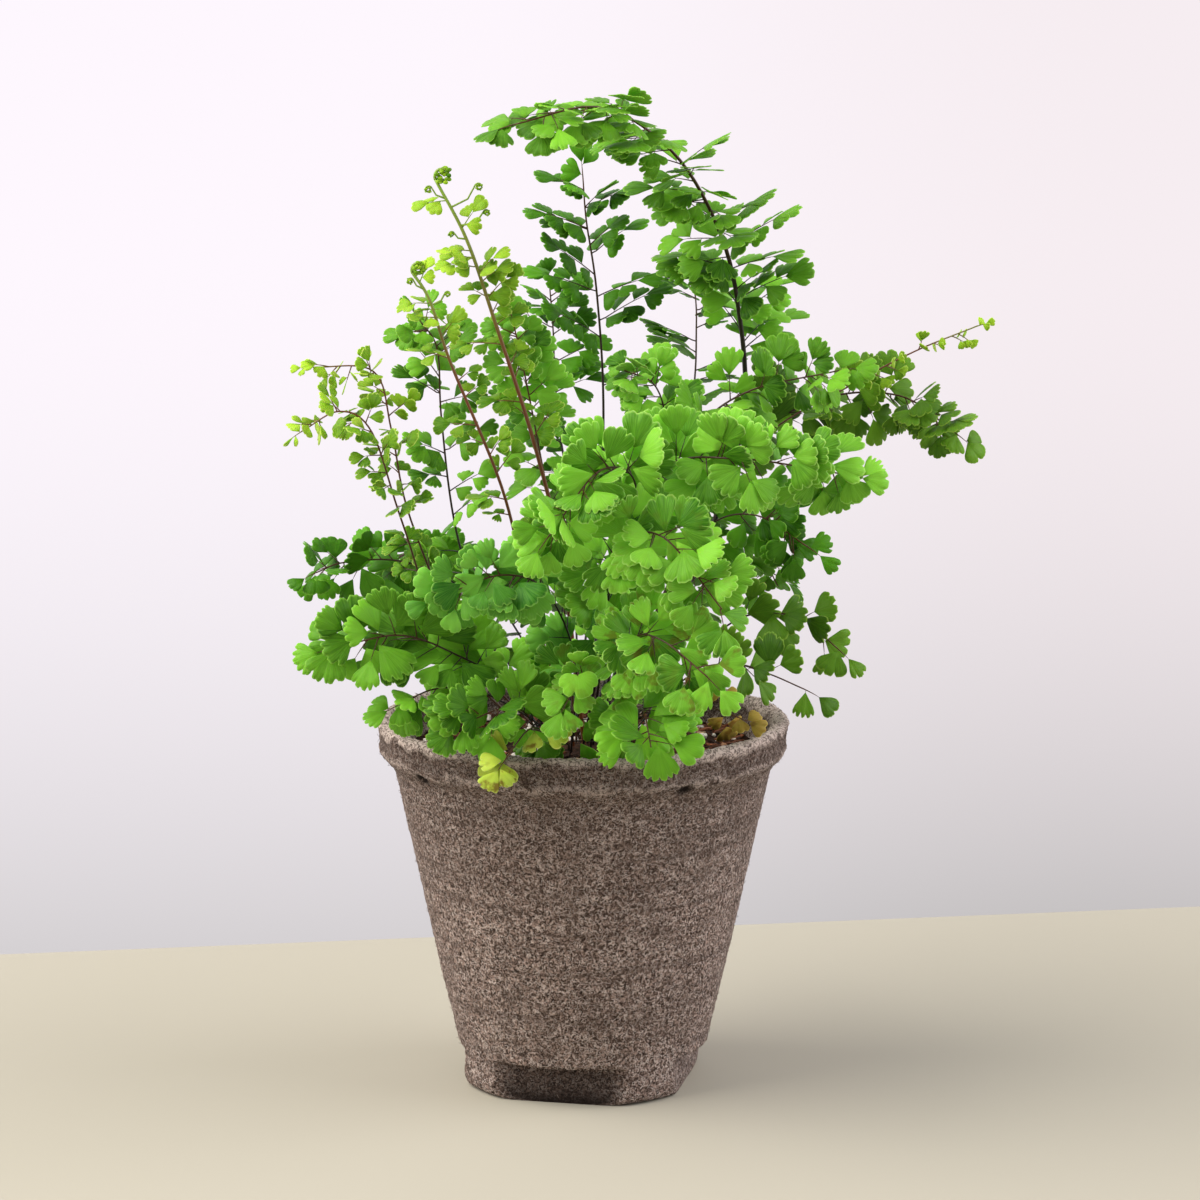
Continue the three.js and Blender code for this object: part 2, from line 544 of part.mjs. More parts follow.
function placesOf(frond, owner, curve, centres, number) {
  const terminal = number === frond.pinnae;
  const evenly = frond.bare + ((0.97 - frond.bare) * (number + 0.5)) / frond.pinnae;
  const at = terminal ? 1 : clearOfRings(evenly, centres);
  const heading = headingAt(curve, at);
  const base = pointOn(centres, at).addScaledVector(heading, terminal ? -TIP_SUNK : 0);
  const spread = new THREE.Vector3(...frond.spread);
  spread.addScaledVector(heading, -spread.dot(heading)).normalize();
  const side = number % 2 === 0 ? 1 : -1;
  const lean = (terminal ? 90 : LEAN_TO_TIP + 10 * (scatter(owner, number) - 0.5)) * RADIAN;
  const straight = spread.multiplyScalar(side * Math.cos(lean)).addScaledVector(heading, Math.sin(lean));
  const share = terminal ? 0.5 : 1 - 0.42 * ((at - frond.bare) / (1 - frond.bare));
  const full = frond.reach * share * (terminal ? 1 : 0.92 + 0.16 * scatter(owner, number + 40));
  const leaf = frond.leaf * LEAF_SCALE * (terminal ? 0.85 : 1 - 0.18 * (1 - share));
  const up = new THREE.Vector3(...frond.face).normalize();
  const tilt = (scatter(owner, number + 80) - 0.5) * 24 * RADIAN;
  return PLACES.map(([scale, swing, lift]) => {
    const normal = up.clone().addScaledVector(straight, -up.dot(straight)).normalize();
    const beside = normal.clone().cross(straight);
    const swung = straight.clone().multiplyScalar(Math.cos(swing * RADIAN))
      .addScaledVector(beside, side * Math.sin(swing * RADIAN));
    const along = swung.clone().multiplyScalar(Math.cos(lift * RADIAN))
      .addScaledVector(normal, Math.sin(lift * RADIAN)).normalize();
    const flatNormal = up.clone().addScaledVector(along, -up.dot(along)).normalize();
    const flatSide = flatNormal.clone().cross(along);
    const face = flatNormal.multiplyScalar(Math.cos(tilt)).addScaledVector(flatSide, Math.sin(tilt));
    return pinnaAt(base, along, face, Math.max(full * scale, leaf * 1.3), leaf);
  });
}

// Young coiled tip: one turn that closes in on itself
function coilBody(curve, radius) {
  const end = curve.getPoint(1);
  const heading = headingAt(curve, 1);
  const inward = new THREE.Vector3(1, 0, 0).addScaledVector(heading, -heading.x).normalize();
  const centres = [];
  const radii = [];
  for (let step = 0; step <= COIL_STEPS; step += 1) {
    const angle = (step / COIL_STEPS) * COIL_TURN * 2 * Math.PI;
    const reach = radius * (1 - 0.5 * (step / COIL_STEPS));
    centres.push(end.clone()
      .addScaledVector(heading, Math.sin(angle) * reach - 0.4)
      .addScaledVector(inward, radius - Math.cos(angle) * reach)
      .addScaledVector(new THREE.Vector3(0, -1, 0), step * 0.1));
    radii.push(COIL_THICKNESS);
  }
  const made = rod(centres, radii, new THREE.Vector3(0, -1, 0), 0);
  return body(made.points, made.triangles);
}

// Fronds: stipe, ribs and leaflets in one piece each
const fronds = FRONDS.map((frond, owner) => {
  const { curve, centres, radii } = stipes[owner];
  const bareRings = 1 + Math.floor(frond.bare * (centres.length - 2));
  const stem = rod(centres, radii, new THREE.Vector3(...frond.spread), bareRings);
  const pieces = [body(stem.points, stem.triangles)];
  for (let number = 0; number <= frond.pinnae; number += 1) {
    if (number === frond.pinnae && frond.curl) {
      pieces.push(coilBody(curve, frond.curl));
      continue;
    }
    for (const place of placesOf(frond, owner, curve, centres, number)) {
      const samples = bladeSamples(place, owner);
      if (isClear(samples)) {
        remember(samples);
        pieces.push(bladeBody(place));
        break;
      }
    }
  }
  return wasm.Manifold.union(pieces);
});

function meshOf(solid, name, colour, roughness) {
  const data = solid.getMesh();
  const geometry = new THREE.BufferGeometry();
  geometry.setAttribute("position", new THREE.BufferAttribute(new Float32Array(data.vertProperties), 3));
  geometry.setIndex(new THREE.BufferAttribute(new Uint32Array(data.triVerts), 1));
  const mesh = new THREE.Mesh(geometry, new THREE.MeshStandardMaterial({ color: colour, roughness }));
  mesh.name = name;
  return mesh;
}

const fern = new THREE.Group();
fern.name = "potted_maidenhair_fern";
fern.add(meshOf(pot, "pot", 0x75655c, 0.95));
fern.add(meshOf(soil, "soil", 0x4a352a, 1));
FRONDS.forEach((frond, index) => {
  fern.add(meshOf(fronds[index], frond.name, TONES[frond.tone], 0.5));
});

export default fern;
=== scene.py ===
# Potted maidenhair fern: a peat-fibre pot, bark compost and the fronds that grow in it.
import math
import random
from collections import namedtuple

import bmesh
import bpy
import numpy as np
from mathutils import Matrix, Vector, kdtree, noise
from mathutils.bvhtree import BVHTree
from mathutils.geometry import delaunay_2d_cdt


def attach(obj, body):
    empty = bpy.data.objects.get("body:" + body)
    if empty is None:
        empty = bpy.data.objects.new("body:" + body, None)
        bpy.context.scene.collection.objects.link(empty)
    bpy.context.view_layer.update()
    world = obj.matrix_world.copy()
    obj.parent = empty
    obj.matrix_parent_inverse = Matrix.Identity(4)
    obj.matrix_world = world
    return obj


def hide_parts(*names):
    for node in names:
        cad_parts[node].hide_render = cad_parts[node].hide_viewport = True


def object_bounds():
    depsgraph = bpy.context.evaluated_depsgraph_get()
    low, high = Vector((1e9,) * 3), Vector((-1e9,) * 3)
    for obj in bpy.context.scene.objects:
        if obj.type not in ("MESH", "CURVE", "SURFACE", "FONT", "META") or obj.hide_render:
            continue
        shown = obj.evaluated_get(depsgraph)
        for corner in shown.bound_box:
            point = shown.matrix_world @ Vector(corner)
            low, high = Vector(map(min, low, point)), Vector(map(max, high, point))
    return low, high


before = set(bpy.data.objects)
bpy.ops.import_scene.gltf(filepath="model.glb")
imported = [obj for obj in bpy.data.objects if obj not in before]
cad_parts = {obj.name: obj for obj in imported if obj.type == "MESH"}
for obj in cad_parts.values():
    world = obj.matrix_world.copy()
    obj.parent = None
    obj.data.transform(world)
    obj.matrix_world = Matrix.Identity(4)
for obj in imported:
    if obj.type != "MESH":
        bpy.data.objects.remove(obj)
cad_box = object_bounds()

# Studio
# A matt pale table top that ends a hand's width behind the pot, a lilac-white surround that is
# dimmer overhead and in front and greyer towards the floor, and a large soft light at either side.
MM = 0.001
# The table's half width, its back edge at the left and at the right, and its front, in metres
TABLE_HALF = 1.6
TABLE_BACK_LEFT = -0.086
TABLE_BACK_RIGHT = 0.409
TABLE_FRONT = -3.0
# Where the camera stands, in metres, and how far it looks down, in degrees
CAMERA_SPOT = (0.005, -1.180, 0.358)
CAMERA_DIP = 10.37


def linear(colour):
    """The linear colour of an sRGB hex value."""
    channels = [int(colour[start:start + 2], 16) / 255 for start in (0, 2, 4)]
    return [c / 12.92 if c <= 0.04045 else ((c + 0.055) / 1.055) ** 2.4 for c in channels] + [1.0]


def add(tree, kind, inputs=None, output=0, **settings):
    """Adds a node with its settings and its inputs: sockets are linked, hex values made linear."""
    made = tree.nodes.new("ShaderNode" + kind)
    for name, value in settings.items():
        setattr(made, name, value)
    for socket, value in (inputs or {}).items():
        if isinstance(value, bpy.types.NodeSocket):
            tree.links.new(value, made.inputs[socket])
        else:
            made.inputs[socket].default_value = linear(value) if isinstance(value, str) else value
    return made.outputs[output]


def new_material(name, **values):
    """A material with these constant values on its main shader; gives its tree and shader too."""
    made = bpy.data.materials.new(name)
    made.use_nodes = True
    shader = made.node_tree.nodes["Principled BSDF"]
    for socket, value in values.items():
        shader.inputs[socket.replace("_", " ")].default_value = value
    return made, made.node_tree, shader


# Painted board: matt and even, its tone a little cloudy over a hand's width
table_paint, tree, shader = new_material("matt painted board", Roughness=0.75, Specular_IOR_Level=0.3)
place = add(tree, "TexCoord", output="Object")
cloud = add(tree, "TexNoise", {"Vector": place, "Scale": 4.0, "Detail": 2.0})
tree.links.new(add(tree, "Mix", {0: cloud, 6: "b0ab9b", 7: "b5b0a1"}, 2, data_type="RGBA"),
               shader.inputs["Base Color"])
table_mesh = bpy.data.meshes.new("table")
table_mesh.from_pydata(
    [(-TABLE_HALF, TABLE_FRONT, 0), (TABLE_HALF, TABLE_FRONT, 0), (TABLE_HALF, TABLE_BACK_RIGHT, 0),
     (-TABLE_HALF, TABLE_BACK_LEFT, 0)], [], [(0, 1, 2, 3)])
table = bpy.data.objects.new("table", table_mesh)
table_mesh.materials.append(table_paint)
bpy.context.scene.collection.objects.link(table)

world = bpy.data.worlds.new("lilac white surround")
bpy.context.scene.world = world
world.use_nodes = True
tree = world.node_tree
way = add(tree, "TexCoord", output="Generated")
east, north, upward = (add(tree, "SeparateXYZ", {0: way}, axis) for axis in range(3))
southward = add(tree, "MapRange", {0: north, 1: 0.3, 2: -0.6}, interpolation_type="SMOOTHSTEP")
to_right = add(tree, "MapRange", {0: east, 1: -0.06, 2: 0.13}, interpolation_type="SMOOTHSTEP")
overhead = add(tree, "MapRange", {0: upward, 1: 0.15, 2: 0.6}, interpolation_type="SMOOTHSTEP")
to_floor = add(tree, "MapRange", {0: upward, 1: -0.09, 2: -0.26})
to_floor = add(tree, "Math", {0: to_floor, 1: to_floor}, operation="MULTIPLY")
wall = add(tree, "Mix", {0: to_right, 6: "fef7fe", 7: "f6edf1"}, 2, data_type="RGBA")
wall_foot = add(tree, "Mix", {0: to_right, 6: "d5d1d3", 7: "c0bdbd"}, 2, data_type="RGBA")
wall = add(tree, "Mix", {0: to_floor, 6: wall, 7: wall_foot}, 2, data_type="RGBA")
for share, shade in ((southward, "a3a1a5"), (overhead, "bebcc0")):
    wall = add(tree, "Mix", {0: share, 6: wall, 7: shade}, 2, data_type="RGBA")
tree.links.new(wall, tree.nodes["Background"].inputs["Color"])


def soft_light(name, size, power, spot, aim, colour):
    """A square light of that size in metres, at spot and turned to aim."""
    lamp = bpy.data.lights.new(name, "AREA")
    lamp.size = size
    lamp.energy = power
    lamp.color = linear(colour)[:3]
    made = bpy.data.objects.new(name, lamp)
    made.location = spot
    made.rotation_euler = (Vector(aim) - Vector(spot)).to_track_quat("-Z", "Y").to_euler()
    bpy.context.scene.collection.objects.link(made)


soft_light("window light", 1.4, 31, (-1.0, -0.2, 1.05), (0, 0, 0.12), "fffaf2")
soft_light("fill light", 1.2, 15, (1.15, -0.1, 0.75), (0, 0, 0.1), "fbf9fb")

lens = bpy.data.cameras.new("camera")
lens.lens = 124.2
lens.sensor_width = 36
camera = bpy.data.objects.new("camera", lens)
camera.location = CAMERA_SPOT
camera.rotation_euler = (math.radians(90 - CAMERA_DIP), 0, 0)
bpy.context.scene.collection.objects.link(camera)
bpy.context.scene.camera = camera
bpy.context.scene.view_settings.view_transform = "Standard"

# Pot
# One pot pressed from wet peat and wood-pulp fibre: an upright rim band with a ridge on top, a plain
# taper, four flats at the foot and four drain holes. Stray fibres stand off its rough felted skin.
# Radius and height along the outside, from the floor up over the rim, and then down the inside
POT_OUTSIDE = [
    (27, 0), (34.4, 0), (36.2, 0.9), (36.8, 2.8), (36.8, 11.8), (37.6, 16), (41.7, 33), (54.9, 94),
    (57.2, 96.5), (59.4, 98.5), (59.1, 100.3), (59.1, 103.4), (59.9, 105.6), (59.8, 107.3), (58.6, 108),
    (56.4, 107.8), (54.6, 106.3), (54, 100.6), (51.8, 99.4), (50.4, 93),
]
POT_INSIDE = [(45, 66), (38.6, 33), (34.8, 16), (30, 13), (28, 3), (27, 3)]
POT_COLUMNS = 340
SKIN_STEP = 1.0
FLOOR_RADIUS = 27
FOOT_FLAT_DISTANCE = 31
FOOT_FLAT_HEIGHT = 11.5
FOOT_TURN = 12
# How dark each flat is painted, partly as damp and partly as painted shadow under the wall above, the front
# one first
FLAT_DAMP_AND_SHADE = (1.2, 0.25, 0.6, 0.5)
DRAIN_RADIUS = 3
DRAIN_CIRCLE = 18
DRAIN_STEPS = 24
POT_FLOOR = 3.0
# Small pits in the skin: way round in degrees, height and depth, then how far they spread around
# and up, in square millimetres, and how dark their hollows are painted as painted shade
PITS = [(218.0, 96.8, 1.5), (299.7, 97.0, 0.9)]
PIT_SPREAD = (2.6, 1.0)
PIT_SHADE = 6
PIT_DARKEST = 1.35
# From each height up, how rough the skin is beside the wall
ROUGHER = [(104.5, 2.1), (97, 1.5), (0, 1.0)]
RIM_FOOT = 95
STRAY_FIBRES = 3600


def mesh_piece(name, points, triangles, materials, slots=None, flat=None, marks=None):
    """An object from points in millimetres and triangles, with the point marks its materials read."""
    points = np.asarray(points, float)
    triangles = np.asarray(triangles, np.int32)
    count = len(triangles)
    mesh = bpy.data.meshes.new(name)
    mesh.vertices.add(len(points))
    mesh.vertices.foreach_set("co", (points * MM).astype(np.float32).ravel())
    mesh.loops.add(count * 3)
    mesh.loops.foreach_set("vertex_index", triangles.ravel())
    mesh.polygons.add(count)
    mesh.polygons.foreach_set("loop_start", np.arange(0, count * 3, 3, dtype=np.int32))
    smooth = np.ones(count, bool) if flat is None else ~np.asarray(flat, bool)
    mesh.polygons.foreach_set("use_smooth", smooth)
    for material in materials:
        mesh.materials.append(material)
    if slots is not None:
        mesh.polygons.foreach_set("material_index", np.asarray(slots, np.int32))
    for mark, values in (marks or {}).items():
        made = mesh.attributes.new(mark, "FLOAT", "POINT")
        made.data.foreach_set("value", np.asarray(values, np.float32))
    mesh.update(calc_edges=True)
    made = bpy.data.objects.new(name, mesh)
    bpy.context.scene.collection.objects.link(made)
    return made


def grid_triangles(rows, columns, first=0, closed=True):
    """Triangles of a grid of points, row by row, whose columns may close on themselves."""
    row, column = np.meshgrid(np.arange(rows - 1), np.arange(columns if closed else columns - 1),
                              indexing="ij")
    a = first + row * columns + column
    b = first + row * columns + (column + 1) % columns
    c, d = a + columns, b + columns
    return np.concatenate([np.stack([a, b, d], -1).reshape(-1, 3), np.stack([a, d, c], -1).reshape(-1, 3)])


def turns_of(count):
    """Equal steps once around."""
    return [2 * math.pi * step / count for step in range(count)]


def roughly(point, size, seed):
    """A smooth random value, about -1 to 1, that changes over a size in millimetres."""
    x, y, z = point
    return noise.noise(Vector((x / size + seed, y / size - seed, z / size + 2 * seed)))


profile = []
for (r0, z0), (r1, z1) in zip(POT_OUTSIDE, POT_OUTSIDE[1:]):
    parts = max(1, round(math.hypot(r1 - r0, z1 - z0) / SKIN_STEP))
    profile += [(r0 + (r1 - r0) * part / parts, z0 + (z1 - z0) * part / parts) for part in range(parts)]
skin_rows = len(profile)
profile = np.array(profile + [POT_OUTSIDE[-1], *POT_INSIDE])
for _ in range(2):
    # Wet pulp keeps no sharp corner: each row is drawn a little towards its neighbours.
    profile[2:skin_rows - 1] = (profile[1:skin_rows - 2] + 2 * profile[2:skin_rows - 1]
                                + profile[3:skin_rows]) / 4
foot_ways = [math.radians(quarter * 90 - FOOT_TURN - 90) for quarter in range(4)]

pot_points, pot_damp_and_shade = [], []
for row, (radius, height) in enumerate(profile):
    ahead = profile[min(row + 1, len(profile) - 1)]
    behind = profile[max(row - 1, 0)]
    out_radius, out_height = ahead[1] - behind[1], behind[0] - ahead[0]
    size = max(math.hypot(out_radius, out_height), 1e-6)
    on_skin = row < skin_rows
    roughness = next((share for start, share in ROUGHER if height > start), 1.0)
    for angle in turns_of(POT_COLUMNS):
        outward = np.array([out_radius * math.cos(angle), out_radius * math.sin(angle), out_height]) / size
        point = np.array([radius * math.cos(angle), radius * math.sin(angle), height])
        damp = 0.0
        rise = 0.0
        # The foot flats darken towards the bottom: partly damp, partly painted shadow under the wall above.
        if height < FOOT_FLAT_HEIGHT and on_skin:
            for number, way in enumerate(foot_ways):
                beyond = point[0] * math.cos(way) + point[1] * math.sin(way) - FOOT_FLAT_DISTANCE
                if beyond > 0:
                    damp = FLAT_DAMP_AND_SHADE[number] * min(1, beyond / 2.5) * (1.1 - 0.7 * height / FOOT_FLAT_HEIGHT)
                    point -= np.array([math.cos(way), math.sin(way), 0]) * beyond
        if height > 1 and on_skin:
            rings = math.sin(height * 2 * math.pi / 2.3 + 2 * roughly(point, 9, 1.4))
            rise = (0.15 * roughly(point, 11, 3.1) + 0.14 * roughly(point, 3.4, 7.7)
                    + 0.26 * roughly(point, 1.5, 5.2) + 0.05 * rings) * roughness
        # Each pit is sunk and its hollow darkened as painted shade.
        for way, pit_height, depth in PITS if on_skin else ():
            beside = radius * math.remainder(angle - math.radians(way), 2 * math.pi)
            hollow = math.exp(-(beside ** 2 / PIT_SPREAD[0] + (height - pit_height) ** 2 / PIT_SPREAD[1]))
            rise -= depth * hollow
            damp = max(damp, min(PIT_DARKEST, PIT_SHADE * hollow))
        pot_points.append(point + outward * rise)
        pot_damp_and_shade.append(damp)
pot_triangles = [grid_triangles(len(profile), POT_COLUMNS)]

# The underside and the floor inside share one cut, with the drain holes through both.
outline = [Vector((math.cos(turn), math.sin(turn))) * FLOOR_RADIUS for turn in turns_of(POT_COLUMNS)]
outline_edges = [(step, (step + 1) % POT_COLUMNS) for step in range(POT_COLUMNS)]
middles = [Vector((math.cos(way + math.pi / 4), math.sin(way + math.pi / 4))) * DRAIN_CIRCLE
           for way in foot_ways]
for number, middle in enumerate(middles):
    start = POT_COLUMNS + number * DRAIN_STEPS
    for step, turn in enumerate(turns_of(DRAIN_STEPS)):
        outline.append(middle + Vector((math.cos(turn), math.sin(turn))) * DRAIN_RADIUS)
        outline_edges.append((start + step, start + (step + 1) % DRAIN_STEPS))
cut_points, _, cut_faces, cut_sources, _, _ = delaunay_2d_cdt(outline, outline_edges, [], 1, 1e-5)
hole_first = len(pot_points)
inner_ring = hole_first - POT_COLUMNS
for height in (0.0, POT_FLOOR):
    pot_points += [np.array([point.x, point.y, height]) for point in outline[POT_COLUMNS:]]
hole_points = 4 * DRAIN_STEPS
pot_damp_and_shade += [0.0] * (2 * hole_points)


def floor_corner(corner, inside):
    """The pot's own point for a corner of the cut floor, on the underside or inside."""
    source = cut_sources[corner][0]
    if source < POT_COLUMNS:
        return source + (inner_ring if inside else 0)
    return hole_first + source - POT_COLUMNS + (hole_points if inside else 0)


floor_triangles = []
for a, b, c in cut_faces:
    pa, pb, pc = (cut_points[corner] for corner in (a, b, c))
    centre = (pa + pb + pc) / 3
    if any((centre - middle).length < DRAIN_RADIUS * 0.99 for middle in middles):
        continue
    if (pb - pa).cross(pc - pa) < 0:
        b, c = c, b
    floor_triangles.append([floor_corner(a, False), floor_corner(c, False), floor_corner(b, False)])
    floor_triangles.append([floor_corner(a, True), floor_corner(b, True), floor_corner(c, True)])
for number in range(4):
    for step in range(DRAIN_STEPS):
        a = hole_first + number * DRAIN_STEPS + step
        b = hole_first + number * DRAIN_STEPS + (step + 1) % DRAIN_STEPS
        floor_triangles += [[a, b + hole_points, b], [a, a + hole_points, b + hole_points]]
pot_triangles.append(np.array(floor_triangles))

# Peat and wood-pulp fibre, pressed and dried: matt grey-brown felt. Pale fibres and the dark gaps
# between them wind about, each near a third of a millimetre wide. Crumbs are darker. The foot flats
# are darkened, partly as damp and partly as painted shadow under the wall above, the pits as painted
# shade, and the upper wall and the rim band as painted shade of the foliage. The ridge and the band's
# lower edge are painted pale, partly as wear and partly as painted highlight.
peat_fibre, tree, shader = new_material("pressed peat fibre", Roughness=0.95, Specular_IOR_Level=0.12)
place = add(tree, "TexCoord", output="Object")
swirl = add(tree, "TexNoise", {"Vector": place, "Scale": 1 / (2.2 * MM), "Detail": 1.0}, "Color")
bent = add(tree, "VectorMath", {0: swirl, 1: (1.8 * MM,) * 3, 2: place}, operation="MULTIPLY_ADD")
grain = add(tree, "TexNoise", {"Vector": place, "Scale": 1 / (0.6 * MM), "Detail": 2.0})
grain = add(tree, "MapRange", {0: grain, 1: 0.35, 2: 0.65})
colour = add(tree, "Mix", {0: grain, 6: "4f413a", 7: "ae978c"}, 2, data_type="RGBA")
winding = {}
# Name, how far it winds in millimetres, half its width in the pattern, strength and colour
WINDING = [("gap", 1.5, 0.066, 1.0, "140d0b"), ("fibre", 1.9, 0.036, 0.85, "e6d6cd")]
for kind, size, half, share, shade in WINDING:
    line = add(tree, "TexNoise", {"Vector": bent, "Scale": 1 / (size * MM), "Detail": 2.5, "Roughness": 0.6})
    line = add(tree, "Math", {0: line, 1: 0.5}, operation="SUBTRACT")
    line = add(tree, "Math", {0: line}, operation="ABSOLUTE")
    winding[kind] = add(tree, "MapRange", {0: line, 1: half, 2: 0.0, 4: share})
    colour = add(tree, "Mix", {0: winding[kind], 6: colour, 7: shade}, 2, data_type="RGBA")
blotches = add(tree, "TexNoise", {"Vector": place, "Scale": 1 / (8 * MM), "Detail": 4.0})
patchy = add(tree, "MapRange", {0: blotches, 1: 0.4, 2: 0.75, 4: 0.4})
levels = add(tree, "Mapping", {0: place, 3: (0.03, 0.03, 1.0)})
rings = add(tree, "TexNoise", {"Vector": levels, "Scale": 1 / (1.7 * MM), "Detail": 3.0})
ringed = add(tree, "MapRange", {0: rings, 1: 0.5, 2: 0.7, 4: 0.45})
crumbs = add(tree, "TexNoise", {"Vector": place, "Scale": 1 / (1.3 * MM), "Detail": 2.0})
specks = add(tree, "MapRange", {0: crumbs, 1: 0.66, 2: 0.7, 4: 0.85})
height = add(tree, "SeparateXYZ", {0: place}, 2)
# Painted shade: the upper wall darkens towards the rim, and from the rim band up it is darker still, standing
# in for the foliage's shadow.
foliage_shade = add(tree, "MapRange", {0: height, 1: 55 * MM, 2: 100 * MM, 4: 0.32})
band_shade = add(tree, "MapRange", {0: height, 1: 98.8 * MM, 2: 100.5 * MM, 4: 0.3})
for share, shade in ((patchy, "63554d"), (ringed, "463a34"), (specks, "1d1613"), (foliage_shade, "3f332d"),
                     (band_shade, "3a2e29")):
    colour = add(tree, "Mix", {0: share, 6: colour, 7: shade}, 2, data_type="RGBA")
# The ridge on top and the lower edge of the band are painted pale, unevenly and not in the gaps: partly
# wear and partly painted highlight where light from above catches them. Each begins between two
# heights, ends at a third and has its strength.
WORN_AND_LIT_EDGES = [(109.6, 111.0, 130, 0.72), (102.4, 103.1, 103.7, 0.36)]
kept_gaps = add(tree, "Math", {0: 1.0, 1: winding["gap"]}, operation="SUBTRACT")
uneven = add(tree, "Math", {0: blotches, 1: 10 * MM, 2: height}, operation="MULTIPLY_ADD")
for low, high, top, share in WORN_AND_LIT_EDGES:
    worn_and_lit = add(tree, "MapRange", {0: uneven, 1: low * MM, 2: high * MM, 4: share})
    below = add(tree, "MapRange", {0: uneven, 1: (top + 1) * MM, 2: top * MM})
    for limit in (below, kept_gaps):
        worn_and_lit = add(tree, "Math", {0: worn_and_lit, 1: limit}, operation="MULTIPLY")
    colour = add(tree, "Mix", {0: worn_and_lit, 6: colour, 7: "d6c5bb"}, 2, data_type="RGBA")
# The damp mark darkens the foot flats, partly as damp and partly as painted shadow, and the pits as painted
# shade.
damp = add(tree, "Attribute", output="Fac", attribute_name="damp")
damp = add(tree, "Math", {0: damp, 1: 0.75}, operation="MULTIPLY")
colour = add(tree, "Mix", {0: damp, 6: colour, 7: "1c1512"}, 2, data_type="RGBA")
tree.links.new(colour, shader.inputs["Base Color"])
relief = add(tree, "Math", {0: winding["fibre"], 1: winding["gap"]}, operation="SUBTRACT")
tree.links.new(add(tree, "Bump", {"Strength": 0.8, "Distance": 0.2 * MM, "Height": relief}),
               shader.inputs["Normal"])

pot = mesh_piece("peat_pot", pot_points, np.concatenate(pot_triangles), [peat_fibre],
                 marks={"damp": pot_damp_and_shade})
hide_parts("pot")
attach(pot, "root")

# Stray fibres stand off the skin, more of them on the rim.
draw = random.Random(11)
fibre_points, fibre_triangles, fibre_tone = [], [], []
skin = np.array(pot_points[:skin_rows * POT_COLUMNS]).reshape(skin_rows, POT_COLUMNS, 3)
rim_rows = [row for row in range(skin_rows) if profile[row][1] > RIM_FOOT]
wall_rows = [row for row in range(skin_rows) if 2 < profile[row][1] <= RIM_FOOT]
for number in range(STRAY_FIBRES):
    row = draw.choice(rim_rows if number % 5 < 2 else wall_rows)
    column = draw.randrange(POT_COLUMNS)
    root = skin[row, column]
    around = skin[row, (column + 1) % POT_COLUMNS] - skin[row, column - 1]
    around = around / np.linalg.norm(around)
    along_wall = skin[min(row + 1, skin_rows - 1), column] - skin[max(row - 1, 0), column]
    out = np.cross(around, along_wall)
    out = out / max(np.linalg.norm(out), 1e-6)
    turn = draw.uniform(0, 2 * math.pi)
    lie = around * math.cos(turn) + np.cross(out, around) * math.sin(turn)
    length = draw.uniform(0.7, 1.9)
    rise = math.radians(draw.uniform(4, 34))
    bend = root + (lie * math.cos(rise) + out * math.sin(rise)) * length * 0.55
    tip = root + (lie * math.cos(rise * 0.3) + out * math.sin(rise * 0.8)) * length
    thick = draw.uniform(0.045, 0.085)
    side = np.cross(out, lie)
    start = len(fibre_points)
    for centre, width in ((root - out * 0.15, thick), (bend, thick * 0.8)):
        fibre_points += [centre + side * width, centre - side * width * 0.6 + out * width,
                         centre - side * width * 0.6 - out * width]
    fibre_points.append(tip)
    for a, b in ((0, 1), (1, 2), (2, 0)):
        fibre_triangles += [[start + a, start + b, start + b + 3], [start + a, start + b + 3, start + a + 3],
                            [start + a + 3, start + b + 3, start + 6]]
    fibre_triangles.append([start, start + 2, start + 1])
    fibre_tone += [draw.random()] * 7

# Single fibres of the same pulp: some bleached, some dark, all matt
stray_fibre, tree, shader = new_material("stray pulp fibre", Roughness=0.9, Specular_IOR_Level=0.15)
tone = add(tree, "Attribute", output="Fac", attribute_name="tone")
tree.links.new(add(tree, "Mix", {0: tone, 6: "42362f", 7: "a79890"}, 2, data_type="RGBA"),
               shader.inputs["Base Color"])
fibres = mesh_piece("pot_fibres", fibre_points, fibre_triangles, [stray_fibre], marks={"tone": fibre_tone})
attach(fibres, "root")

# Soil
# Bark compost that fills the pot to a finger's width below the rim: dark fines, reddish bark
# shreds and white perlite, loose and uneven. The filling is one body and the crumbs lie on it.
SOIL_PROFILE = [(27.5, 3.0), (29.5, 13.5), (34.3, 16.5), (38.1, 33), (50.4, 92)]
SOIL_EDGE = 51.0
SOIL_TOP = 98.6
SOIL_RELIEF = 1.1
SOIL_COLUMNS = 220
SOIL_RINGS = 48
BARK_SHREDS = 900
SHORT_SHRED = 2.2
# Name, count, seed, least and greatest half size and roughness of each kind of crumb
CRUMBS = [("soil_crumbs", 600, 31, 0.35, 1.0, 0.3), ("perlite", 160, 37, 0.45, 1.7, 0.26)]
# The stipes stand upright from this height through the top of the filling. Loose pieces lie this far
# from them, and a crumb is at most so many half sizes long.
FOOT_Z = 89
STIPE_CLEAR = 1.4
LONGEST_CRUMB = 1.7


def cad_corners(name):
    """The corners of a node of the CAD model, in millimetres."""
    return np.array([corner.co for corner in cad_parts[name].data.vertices]) / MM


feet = {}
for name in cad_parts:
    if name not in ("pot", "soil"):
        corners = cad_corners(name)
        feet[name] = corners[corners[:, 2] < FOOT_Z + 0.5].mean(0)


def soil_height(x, y):
    """The filling's height, as the CAD model has it."""
    wave = math.sin(x * 0.31 + 1.3) * math.cos(y * 0.27) + math.sin(x * 0.13 - y * 0.19 + 0.4)
    return SOIL_TOP + SOIL_RELIEF * wave / 2 + 0.8 * math.exp(-(x * x + y * y) / 500)


